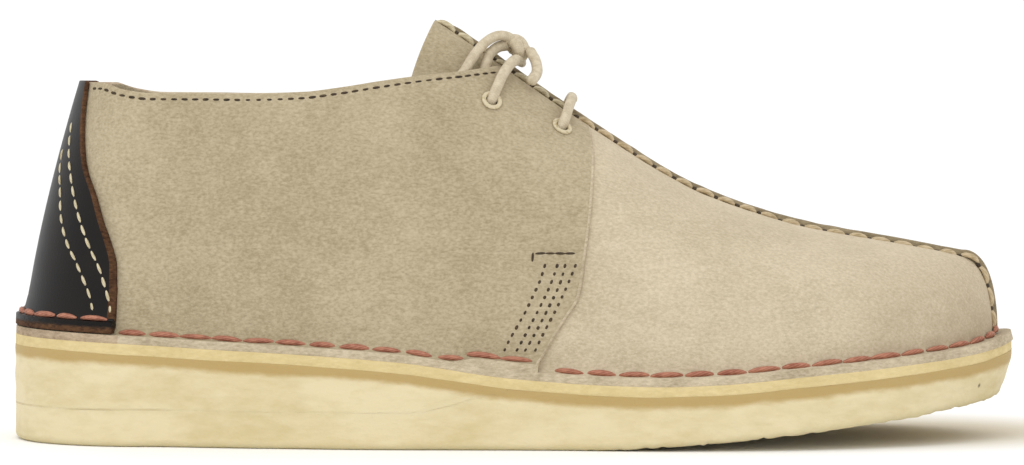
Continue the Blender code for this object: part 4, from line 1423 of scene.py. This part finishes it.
    def build_quarters(self, holes: Sequence[tuple]) -> None:
        """Make and dress the two quarters, one sheet round the heel, with their lace holes."""
        near, far = self.quarter_half(-1), self.quarter_half(1)
        obj = laid_grid("quarters", np.concatenate((far[:0:-1], near), axis=0))
        finishes = self.finishes
        dress(obj, finishes.quarter_suede, finishes.suede_edge, finishes.flesh,
              finishes.quarter_suede, finishes.heel_edge, finishes.flesh)
        middle = near.shape[0] - 1
        paint_faces(obj, 3, lambda column, row: abs(column - middle) < 30)
        paint_faces(obj, Edge.CUT.value, lambda column, row: abs(column - middle) > middle - 1)
        thicken(obj, self.wall, 0.0006)
        for place in holes:
            pierce(obj, place, self.hole)
        smooth(obj)
        carry(obj, "upper", "upper")

    def seam_strip(
        self, name: str, stations: np.ndarray, rises: np.ndarray, fade: int = 0
    ) -> bpy.types.Object:
        """The raised seam: two hide edges turned up side by side, with a groove between them.

        Args:
            name: the new object's name.
            stations: its path round the form.
            rises: its path up the form.
            fade: how many of its first points sink into the leather.

        Returns:
            The strip's mesh object.
        """
        centre = self.last.base(stations, rises, -1)
        normal = self.last.outward(stations, rises, -1)
        half, top = self.ridge_width / 2, self.ridge_height
        profile = [(-half - 0.0006, -0.0008), (-half - 0.0002, 0.0001),
                   (-half + 0.0001, 0.55 * top), (-half + 0.0006, 0.9 * top), (-0.0008, top),
                   (-0.0001, 0.82 * top), (0.0006, top * 1.02), (half - 0.0007, top * 0.95),
                   (half - 0.0001, 0.55 * top), (half + 0.0002, 0.0001),
                   (half + 0.0006, -0.0008)]
        run = lengths_of(centre, 0)
        rows = []
        for k, (point, up) in enumerate(zip(centre, normal)):
            sway = 0.00018 * noise.noise(Vector((run[k] * 130, 0.0, 3.0)))
            lift = 0.00016 * noise.noise(Vector((run[k] * 210, 5.0, 0.0)))
            full = float(soft_step(k, -1, fade)) if fade else 1.0
            rows.append([point + np.array((0.0, y + sway, 0.0))
                         + full * (z + (lift if z > 0.3 * top else 0.0)) * up
                         for y, z in profile])
        obj = laid_grid(name, self.last.place(np.array(rows)))
        obj.modifiers.new("soften", "SUBSURF").levels = 1
        obj.modifiers["soften"].render_levels = 1
        apply_all(obj)
        dress(obj, self.finishes.ridge_edge)
        smooth(obj, 70)
        return obj

    def build_ridges(self) -> None:
        """Make the centre seam of the vamp and of the tongue."""
        last = self.last
        along = last.station_at(np.linspace(last.vamp_crest_start + 0.0006, last.toe_start, 60))
        down = np.linspace(1, 0.02, 40)
        stations = np.concatenate((along, np.linspace(2, 3, 60)[1:], np.full(39, 3.0)))
        rises = np.concatenate((np.ones(119), down[1:]))
        carry(self.seam_strip("centre_ridge", stations, rises), "upper", "upper")
        tongue = last.station_at(
            np.linspace(self.tongue_end, last.vamp_crest_start + 0.0006, 50))
        carry(self.seam_strip("tongue_ridge", tongue, np.ones(50), 8), "tongue", "tongue")

    def tongue_points(self) -> np.ndarray:
        """Columns of the tongue from its end to the vamp, rows across it."""
        last = self.last
        distances = np.linspace(-self.tongue_half, self.tongue_half, 49)
        near = np.abs(distances)
        rise = last.rise_at_side(np.array(last.vamp_crest_start), near)
        run = last.vamp_crest_start - last.vamp_foot_start
        front = last.vamp_foot_start + last.height_share(rise) * run + 0.002
        fall = 1 - last.height_share(last.rise_at_side(np.array(self.tongue_end), near))
        rear = self.tongue_end - self.tongue_slant * fall / fall.max()
        share = np.linspace(0, 1, 44)[:, None]
        x = rear + share * (front - rear)
        rises = last.rise_at_side(x, np.broadcast_to(near, x.shape))
        drop = -self.tongue_tuck * soft_step(np.broadcast_to(near, x.shape), *self.tuck_from_to)
        stations = last.station_at(x)
        return np.where((distances <= 0)[None, :, None], last.point(stations, rises, -1, drop),
                        last.point(stations, rises, 1, drop))

    def build_tongue(self) -> None:
        """Make and dress the tongue."""
        obj = laid_grid("tongue_leather", self.tongue_points())
        dress(obj, self.finishes.quarter_suede, self.finishes.suede_edge, self.finishes.flesh)
        thicken(obj, self.sheet_wall, 0.0004)
        smooth(obj)
        carry(obj, "tongue", "tongue")

    def build_insole(self) -> None:
        """Make and dress the insole, slightly dished under the foot."""
        last = self.last
        stations = heel_to_toe(24, 90, 30)
        inset = last.flange_width + self.wall + 0.0006
        near = last.outline(stations, -1, inset)
        far = last.outline(stations, 1, inset)
        share = np.linspace(0, 1, 30)[None, :, None]
        plan = near[:, None] * (1 - share) + far[:, None] * share
        dish = 0.0007 * (1 - (2 * share[..., 0] - 1) ** 2)
        z = last.midsole_top(plan[..., 0]) + last.clearance + 0.0026 - dish
        obj = laid_grid("insole_leather", last.place(np.concatenate((plan, z[..., None]), axis=2)))
        weld(obj, 1e-5, closed=False)
        dress(obj, self.finishes.insole, self.finishes.suede_edge, self.finishes.flesh)
        thicken(obj, self.sheet_wall, 0.0003)
        smooth(obj)
        carry(obj, "insole", "insole")

    def build_counter(self) -> None:
        """Make and dress the counter with its own flange round the heel."""
        last = self.last
        swell = self.counter_swell
        shares = np.linspace(0, 1, 46)
        rows = self.wall_rows
        halves = {}
        for side in (-1, 1):
            t = np.linspace(0, 1, rows)
            ahead = 1 - through(self.counter_edge, 1, t)
            stations = ahead[None] * (1 - shares)[:, None]
            foot = last.outline(stations, side, last.flange_width)[..., 0]
            top = last.rise_at_height(foot, last.collar_height(foot))
            rises = 0.055 + (top - 0.055) * t[None]
            walls = last.point(stations, rises, side, swell)
            foot_station = (1 - self.counter_edge[0][1]) * (1 - shares)
            flange = self.flange_rows(foot_station, side, self.counter_top, swell, walls[:, 0],
                                      0.0002)
            halves[side] = np.concatenate((flange, walls), axis=1)
        obj = laid_grid("heel_counter_leather", np.concatenate((halves[1], halves[-1][-2::-1])))
        dress(obj, self.finishes.counter_hide, self.finishes.counter_edge,
              self.finishes.counter_edge)
        ends = halves[1].shape[0] + halves[-1].shape[0] - 2
        paint_faces(obj, Edge.CUT.value,
                    lambda column, row: row > 6 and min(column, ends - column) < self.skived)
        share = self.counter_wall / self.counter_flange

        def thin(column: float, row: float) -> float:
            """The flange is full, and the wall thins past its corner."""
            return share + (1 - share) * (1 - float(soft_step(row, 6.5, 10.5)))

        thicken(obj, self.counter_flange, 0.0006, thin)
        last.store(obj, "below_top", lambda x, z: np.where(
            z > self.counter_top(x) + 0.0008, 0.01, self.counter_top(x) - z))
        smooth(obj)
        carry(obj, "heel_counter", "heel_counter")

    def build(self, holes: Sequence[tuple]) -> None:
        """Make every piece of the upper, pierced at the eyelets."""
        self.build_vamp()
        self.build_quarters(holes)
        self.build_ridges()
        self.build_tongue()
        self.build_insole()
        self.build_counter()


@dataclass
class Stitching:
    """The threads: welt, centre seam, collar, side seams and counter."""

    last: Last
    view: PhotoView
    finishes: Finishes
    upper: Upper
    welt_pitch: float = 0.0096
    collar_pitch: float = 0.0032
    dot_pitch: float = 0.0025
    bar_pitch: float = 0.0029
    bead_pitch: float = 0.0070
    dash_pitch: float = 0.0043
    toe_climb: float = 0.0009
    # Length, width, height and sink of each kind of stitch
    welt_kind: tuple = (0.0082, 0.0018, 0.0009, 0.0005)
    bead_kind: tuple = (0.0062, 0.0019, 0.0014, 0.0006)
    hole_kind: tuple = (0.0017, 0.0015, 0.0006, 0.0002)
    collar_kind: tuple = (0.0023, 0.0009, 0.0003, 0.0003)
    dot_kind: tuple = (0.0013, 0.0010, 0.0003, 0.0003)
    bar_kind: tuple = (0.0030, 0.0008, 0.0003, 0.0002)
    dash_kind: tuple = (0.0035, 0.0010, 0.0005, 0.0003)
    beside_ridge: float = 0.0031
    under_collar: float = 0.0019
    seam_rows: tuple = (
        ((546, 262), (540, 281), (533, 296), (526, 311), (517, 327), (508, 343), (504, 352)),
        ((558.5, 262), (552, 281), (545, 297), (537, 313), (528, 330), (519, 347), (514, 355)),
        ((566, 262), (561, 281), (554, 297), (545, 315), (536, 332), (527, 348), (521, 356)),
        ((577, 262), (571, 277), (564, 293), (556, 310), (547, 327), (538, 345), (532, 359)),
    )
    seam_bar: tuple = ((533.5, 262), (534.6, 254.2), (557, 253.5), (579.6, 253.5))
    counter_rows: tuple = (
        ((72, 121), (69, 150), (71, 179), (76, 207), (86, 240), (98, 267), (104, 286), (109, 305),
         (110, 322)),
        ((63, 148), (60, 167), (60, 190), (61, 219), (67, 244), (75, 261), (82, 278), (88, 293),
         (92, 309), (94, 316)),
    )

    def surface_line(self, found: np.ndarray, side: float, swell: float) -> tuple:
        """Dense points and normals along marks found on the form."""
        dense = smooth_path([(s, r, 0.0) for s, r in found], 0.004)
        station, rise = dense[:, 0], dense[:, 1]
        return (self.last.point(station, rise, side, swell),
                self.last.outward(station, rise, side))

    def sew(
        self, name: str, lines: Iterable[tuple], pitch: float, kind: tuple,
        thread: bpy.types.Material, slot: str, wander: float = 0.12, start: float = 0.5,
    ) -> None:
        """Sew one thread along several lines as one joined piece.

        Args:
            name: the piece's name.
            lines: dense points and normals of each line.
            pitch: from stitch to stitch.
            kind: length, width, height and sink of one stitch.
            thread: its finish.
            slot: not used.
            wander: how far the stitches differ.
            start: distance of the first stitch, as a share of the pitch.
        """
        cuts = [spaced(points, normals, pitch, pitch * start) for points, normals in lines]
        line = Line(*(np.concatenate([getattr(cut, part) for cut in cuts])
                      for part in ("points", "ahead", "normal")))
        obj = copies(name, stitch(*kind), line, seed=len(name), wander=wander)
        dress(obj, thread)
        carry(obj, slot)

    def welt_line(self, side: float, start: float, end: float, top: Callable, swell: float,
                  lift: float) -> tuple:
        """The corner between a flange and its wall, along part of one side."""
        stations = np.linspace(start, end, 500)
        plan = self.last.outline(stations, side, self.last.flange_width - swell - 0.0011)
        climb = self.toe_climb * soft_step(stations, 2.75, 2.98)[:, None]
        points = self.last.place(np.concatenate((plan, top(plan[:, :1]) + lift + climb), axis=1))
        outer = self.last.outline(stations, side, 0.0)
        inner = self.last.outline(stations, side, 0.006)
        out = outer - inner
        out /= np.linalg.norm(out, axis=1, keepdims=True)
        normals = np.concatenate((out * 0.8, np.full((len(out), 1), 0.6)), axis=1)
        return points, normals

    def build_welt(self) -> None:
        """Rust thread round the feather line, as one running seam on each side."""
        last = self.last
        step = float(last.station_at(np.array(self.upper.front_foot + 0.0005)))
        counter_end = 1 - self.upper.counter_edge[0][1]
        swell = self.upper.quarter_swell
        lines = []
        for side in (-1, 1):
            lines.append(self.welt_line(side, 0.02, counter_end, self.upper.counter_top,
                                        self.upper.counter_swell, 0.0009))
            lines.append(self.welt_line(side, counter_end + 0.004, step,
                                        last.quarter_flange_top, swell, 0.0008))
            lines.append(self.welt_line(side, step + 0.02, 2.985, last.vamp_flange_top, 0.0,
                                        0.0008))
        self.sew("welt_stitches", lines, self.welt_pitch, self.welt_kind,
                 self.finishes.rust_thread, "upper", 0.16)

    def crest_line(self, start: float, end: float, side: float, distance: float) -> tuple:
        """A line beside the centre seam between two lengths on the straight part of the crest."""
        last = self.last
        x = np.linspace(start, end, 300)
        stations, rise = last.station_at(x), last.rise_at_side(x, distance)
        return last.point(stations, rise, side, 0.0004), last.outward(stations, rise, side)

    def toe_line(self, start: float, side: float, distance: float) -> tuple:
        """The crest line, then on beside the seam over the toe and down to the flange."""
        last = self.last
        points, normals = self.crest_line(start, last.toe_start, side, distance)
        over, down = np.linspace(2, 3, 120)[1:], np.linspace(1, 0.10, 120)[1:]
        stations = np.concatenate((over, np.full(len(down), 3.0)))
        rises = np.concatenate((np.ones(len(over)), down))
        centre = last.point(stations, rises, side, -0.0001)
        normal = last.outward(stations, rises, side)
        ahead = np.gradient(centre, axis=0)
        across = np.cross(normal, ahead)
        across *= side * np.sign(across[:, 1:2])
        across /= np.linalg.norm(across, axis=1, keepdims=True)
        beside = centre + distance * across
        return np.concatenate((points, beside)), np.concatenate((normals, normal + 0.25 * across))

    def build_centre(self) -> None:
        """Tan thread beside the ridge over the vamp, cream up the tongue, and their holes."""
        last = self.last
        vamp = [self.toe_line(last.vamp_crest_start + 0.001, side, self.beside_ridge)
                for side in (-1, 1)]
        tongue = [self.crest_line(self.upper.tongue_end + 0.0008, last.vamp_crest_start - 0.002,
                                  side, self.beside_ridge) for side in (-1, 1)]
        finishes = self.finishes
        for name, lines, kind, thread, slot, start in (
            ("centre_stitches", vamp, self.bead_kind, finishes.tan_thread, "upper", 0.6),
            ("centre_holes", vamp, self.hole_kind, finishes.dark_thread, "upper", 0.1),
            ("tongue_stitches", tongue, self.bead_kind, finishes.cream_thread, "tongue", 0.45),
            ("tongue_holes", tongue, self.hole_kind, finishes.dark_thread, "tongue", 0.95),
        ):
            self.sew(name, lines, self.bead_pitch, kind, thread, slot, 0.10, start)

    def build_collar(self) -> None:
        """Dark thread a little under the collar's edge, on both sides."""
        last = self.last
        lines = []
        for side in (-1, 1):
            x = np.linspace(0.0135, self.upper.collar_corner - 0.001, 400)
            rise = last.rise_at_height(x, last.collar_height(x) - self.under_collar)
            stations = last.station_at(x)
            lines.append((last.point(stations, rise, side, self.upper.quarter_swell),
                          last.outward(stations, rise, side)))
        self.sew("collar_stitches", lines, self.collar_pitch, self.collar_kind,
                 self.finishes.dark_thread, "upper", 0.15)

    def build_side_seams(self) -> None:
        """Four rows of dark thread and their bar where the quarters hold the vamp."""
        swell = self.upper.quarter_swell
        rows = [self.last.locate(row, self.view, swell) for row in self.seam_rows]
        bar = self.last.locate(self.seam_bar, self.view, swell)
        for side, name in ((-1, "near"), (1, "far")):
            lines = [self.surface_line(row, side, swell) for row in rows]
            self.sew(f"side_seam_{name}", lines, self.dot_pitch, self.dot_kind,
                     self.finishes.dark_thread, "upper", 0.15)
            self.sew(f"side_seam_bar_{name}", [self.surface_line(bar, side, swell)],
                     self.bar_pitch, self.bar_kind, self.finishes.dark_thread, "upper", 0.1)

    def build_counter_rows(self) -> None:
        """Two rows of cream dashes on each side of the counter."""
        swell = self.upper.counter_swell
        lines = []
        for row in self.counter_rows:
            found = self.last.locate(row, self.view, swell)
            lines += [self.surface_line(found, side, swell) for side in (-1, 1)]
        self.sew("counter_stitches", lines, self.dash_pitch, self.dash_kind,
                 self.finishes.cream_thread, "heel_counter", 0.08)

    def build(self) -> None:
        """Sew every seam."""
        self.build_welt()
        self.build_centre()
        self.build_collar()
        self.build_side_seams()
        self.build_counter_rows()


@dataclass
class Lacing:
    """Eyelets, the lace through them, its knot, its loop and its short end."""

    last: Last
    finishes: Finishes
    upper: Upper
    radius: float = 0.0017
    ring_radius: float = 0.0025
    ring_wire: float = 0.0007
    eyelets: tuple = (("upper", 0.4755, 0.210, 0.008), ("lower", 0.5440, 0.182, 0.002))
    # The loop's visible strands and the short end, from the heel
    loop_outer: Table = ((.1512, -.0062, .1208), (.1497, -.0074, .1218), (.1466, -.0096, .1220),
                         (.1428, -.0122, .1198), (.1394, -.0148, .1156), (.1364, -.0174, .1108))
    # Length share, distance from the centre seam as a share of the ball width, swell
    loop_bight: Table = (
        (0.4400, 0.1930, -0.0047), (0.4300, 0.2120, -0.0047), (0.4245, 0.2310, -0.0048),
        (0.4300, 0.2500, -0.0050), (0.4457, 0.2600, -0.0050), (0.4630, 0.2490, -0.0050),
        (0.4690, 0.2300, -0.0049), (0.4700, 0.2060, -0.0047), (0.4720, 0.1780, -0.0047),
        (0.4735, 0.1500, -0.0048))
    loop_inner: Table = ((.1438, -.0120, .1152), (.1452, -.0098, .1174), (.1472, -.0075, .1188),
                         (.1496, -.0056, .1192))
    end: Table = ((.1567, -.0068, .1173), (.1583, -.0092, .1142), (.1586, -.0128, .1110),
                  (.1570, -.0163, .1085))

    # Name, thickness share and route of each strand of the knot, from the heel
    knot: tuple = (
        ("over", 1.12, ((.1500, -.0062, .1206), (.1517, -.0058, .1209), (.1534, -.0050, .1203),
                        (.1546, -.0045, .1184), (.1545, -.0044, .1165), (.1534, -.0044, .1152))),
        ("wrap", 1.15, ((.1508, -.0030, .1200), (.1514, -.0066, .1202), (.1526, -.0076, .1190),
                        (.1532, -.0070, .1174), (.1528, -.0050, .1160))),
        ("core", 1.45, ((.1515, -.0030, .1186), (.1530, -.0040, .1184), (.1546, -.0052, .1176))),
    )

    def seat(self, x_share: float, side_share: float, side: float) -> tuple:
        """Centre and outward direction of an eyelet on the quarter."""
        x = np.array([x_share * self.last.length])
        rise = self.last.rise_at_side(x, side_share * self.last.ball_width)
        station = self.last.station_at(x)
        return (self.last.point(station, rise, side, self.upper.quarter_swell)[0],
                self.last.outward(station, rise, side)[0])

    def holes(self) -> list[tuple]:
        """Centre and direction of every eyelet."""
        return [self.seat(x_share, side_share, side)
                for _, x_share, side_share, _ in self.eyelets for side in (-1, 1)]

    def build_eyelets(self) -> None:
        """Four painted rings, each turned to face out from its quarter."""
        for name, x_share, side_share, _ in self.eyelets:
            for side_name, side in (("near", -1), ("far", 1)):
                centre, normal = self.seat(x_share, side_share, side)
                deselect_all()
                bpy.ops.mesh.primitive_torus_add(major_radius=self.ring_radius,
                                                 minor_radius=self.ring_wire,
                                                 major_segments=32, minor_segments=12)
                ring = bpy.context.object
                bpy.ops.object.mode_set(mode="EDIT")
                bpy.ops.mesh.select_all(action="SELECT")
                bpy.ops.transform.resize(value=(1.0, 1.0, 0.75))
                bpy.ops.object.mode_set(mode="OBJECT")
                up = np.array((0.0, 1.0, 0.0))
                right = np.cross(up, normal)
                right /= np.linalg.norm(right)
                axes = np.stack((right, np.cross(normal, right), normal))
                points = np.array([v.co for v in ring.data.vertices]) @ axes + centre
                points += normal * self.ring_wire / 2
                ring.data.vertices.foreach_set("co", points.ravel())
                ring.name = ring.data.name = f"eyelet_ring_{name}_{side_name}"
                dress(ring, self.finishes.brass)
                smooth(ring, 60)
                carry(ring, f"eyelet_{name}_{side_name}", f"eyelet_{name}_{side_name}")

    def build_bars(self) -> None:
        """The lace from inside one eyelet over the seam and into the other."""
        last = self.last
        for name, x_share, side_share, forward in self.eyelets:
            x, reach = x_share * last.length, side_share * last.ball_width
            points = []
            for side in (-1, 1):
                centre, normal = self.seat(x_share, side_share, side)
                inside = [centre - normal * 0.0036, centre - normal * 0.001]
                half = []
                for share in (0.9, 0.75, 0.55, 0.35, 0.15):
                    at = np.array(x + forward * (1 - share))
                    lift = self.upper.quarter_swell + self.radius + 0.0012 * math.sin(
                        math.pi * min(share, 0.9) / 0.9) + 0.0006
                    if share < 0.5:
                        lift = max(lift, self.upper.ridge_height + self.radius + 0.0004)
                    rise = last.rise_at_side(at, share * reach)
                    half.append(last.point(last.station_at(at), rise, side, lift))
                points.append([*inside, *half])
            path = smooth_path(points[0] + points[1][::-1], 0.0012)
            obj = tube(f"lace_crossing_{name}", path, self.radius, 18, 0.82)
            dress(obj, self.finishes.lace)
            carry(obj, f"lace_bar_{name}", f"lace_bar_{name}")

    def build_tie(self) -> None:
        """The knot, the loop behind the collar and the short end."""
        last = self.last
        strands = [tube(f"lace_knot_{name}", last.place(smooth_path(points, 0.0008)),
                        self.radius * size, 18, 0.92)
                   for name, size, points in self.knot]
        share, across, swell = (np.array(column) for column in zip(*self.loop_bight))
        at = share * last.length
        bight = last.point(last.station_at(at), last.rise_at_side(at, across * last.ball_width),
                           -1, swell)
        tie_path = smooth_path([*last.place(np.array(self.loop_outer)), *bight,
                                *last.place(np.array(self.loop_inner))], 0.0012)
        loop = tube("lace_tie_loop", tie_path, self.radius, 18, 0.88)
        end_path = last.place(smooth_path(self.end, 0.0012))
        tail = tube("lace_short_end", end_path, self.radius, 18, 0.88)
        for obj, slot in (*((strand, "lace_knot") for strand in strands),
                          (loop, "lace_loop"), (tail, "lace_end")):
            dress(obj, self.finishes.lace)
            carry(obj, slot, slot)

    def build(self) -> None:
        """Make every part of the lacing."""
        self.build_eyelets()
        self.build_bars()
        self.build_tie()


@dataclass
class Studio:
    """White floor, soft light and the photograph's camera.

    A shadow, brownish in tone, is painted into the floor's colour under the toe.
    """

    view: PhotoView
    # Colour, centre, reach and strength of the shadow painted on the floor under the toe
    shadow_tone: str = "D3C6A8"
    painted_shadow_place: tuple[float, float, float] = (0.128, 0.022, 0.0)
    painted_shadow_reach: tuple[float, float] = (0.085, 0.015)
    painted_shadow_share: float = 0.75

    def build_floor(self) -> None:
        """A wide white sweep under the shoe."""
        deselect_all()
        bpy.ops.mesh.primitive_plane_add(size=30, location=(0, 0, 0))
        floor = bpy.context.object
        floor.name = "studio_floor"
        made, tree, where = blank_material("matt white paper, rolled")
        clouds = add_node(tree, "TexNoise", {"Vector": where, "Scale": 2.0})
        shade = add_node(tree, "ValToRGB", {0: clouds}, stops=((0.3, "FBFBFB"), (0.7, "FFFFFF")))
        # Painted shadow: the floor's colour is darkened to a brownish tone in a soft patch under the
        # toe
        apart = add_node(tree, "VectorMath", {0: where, 1: self.painted_shadow_place}, "Value",
                         operation="DISTANCE")
        painted_shadow = add_node(tree, "MapRange", {0: apart, 1: self.painted_shadow_reach[0],
                                             2: self.painted_shadow_reach[1], 3: 0, 4: self.painted_shadow_share},
                          interpolation_type="SMOOTHSTEP")
        shade = add_node(tree, "Mix", {0: painted_shadow, 6: shade, 7: hex_linear(self.shadow_tone)}, 2,
                         data_type="RGBA")
        set_shader(made, {"Base Color": shade, "Roughness": 0.9, "Specular IOR Level": 0.1})
        dress(floor, made)

    def area(self, name: str, place: tuple, aim: tuple, size: float, power: float) -> None:
        """One soft lamp, turned to a point."""
        lamp = bpy.data.lights.new(name, "AREA")
        lamp.shape = "SQUARE"
        lamp.size = size
        lamp.energy = power
        obj = bpy.data.objects.new(name, lamp)
        obj.location = place
        obj.rotation_euler = (Vector(aim) - Vector(place)).to_track_quat("-Z", "Y").to_euler()
        bpy.context.scene.collection.objects.link(obj)

    def build(self) -> None:
        """Make the studio."""
        self.build_floor()
        world = bpy.data.worlds.new("soft white room")
        bpy.context.scene.world = world
        world.use_nodes = True
        back = world.node_tree.nodes["Background"]
        back.inputs["Color"].default_value = (1.0, 1.0, 1.0, 1.0)
        back.inputs["Strength"].default_value = 1.05
        self.area("key", (-0.35, -0.75, 1.25), (0.0, 0.0, 0.04), 0.7, 3.4)
        self.area("front", (0.25, -1.6, 0.55), (0.0, 0.0, 0.05), 0.9, 0.9)
        camera = bpy.data.cameras.new("photo_camera")
        camera.sensor_fit = "HORIZONTAL"
        camera.sensor_width = 36.0
        camera.lens = 36.0 * self.view.focal / self.view.width
        camera.clip_start, camera.clip_end = 0.05, 60.0
        obj = bpy.data.objects.new("photo_camera", camera)
        obj.location = (self.view.aim, -self.view.distance, self.view.eye_height)
        drop = (self.view.height / 2 - self.view.horizon) / self.view.focal
        obj.rotation_euler = (math.pi / 2 - math.atan(drop), 0.0, 0.0)
        bpy.context.scene.collection.objects.link(obj)
        bpy.context.scene.camera = obj
        bpy.context.scene.view_settings.view_transform = "Standard"


def main() -> None:
    """Build the shoe's looks piece by piece, then the studio."""
    logging.basicConfig(level=logging.INFO, format="%(message)s")
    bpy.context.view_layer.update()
    last, view = Last(), PhotoView()
    finishes = Finishes.make()
    Sole(last, finishes).build()
    upper = Upper(last, finishes)
    lacing = Lacing(last, finishes, upper)
    upper.build(lacing.holes())
    Stitching(last, view, finishes, upper).build()
    lacing.build()
    Studio(view).build()
    deselect_all()
    bpy.context.view_layer.update()


if __name__ == "__main__":
    main()
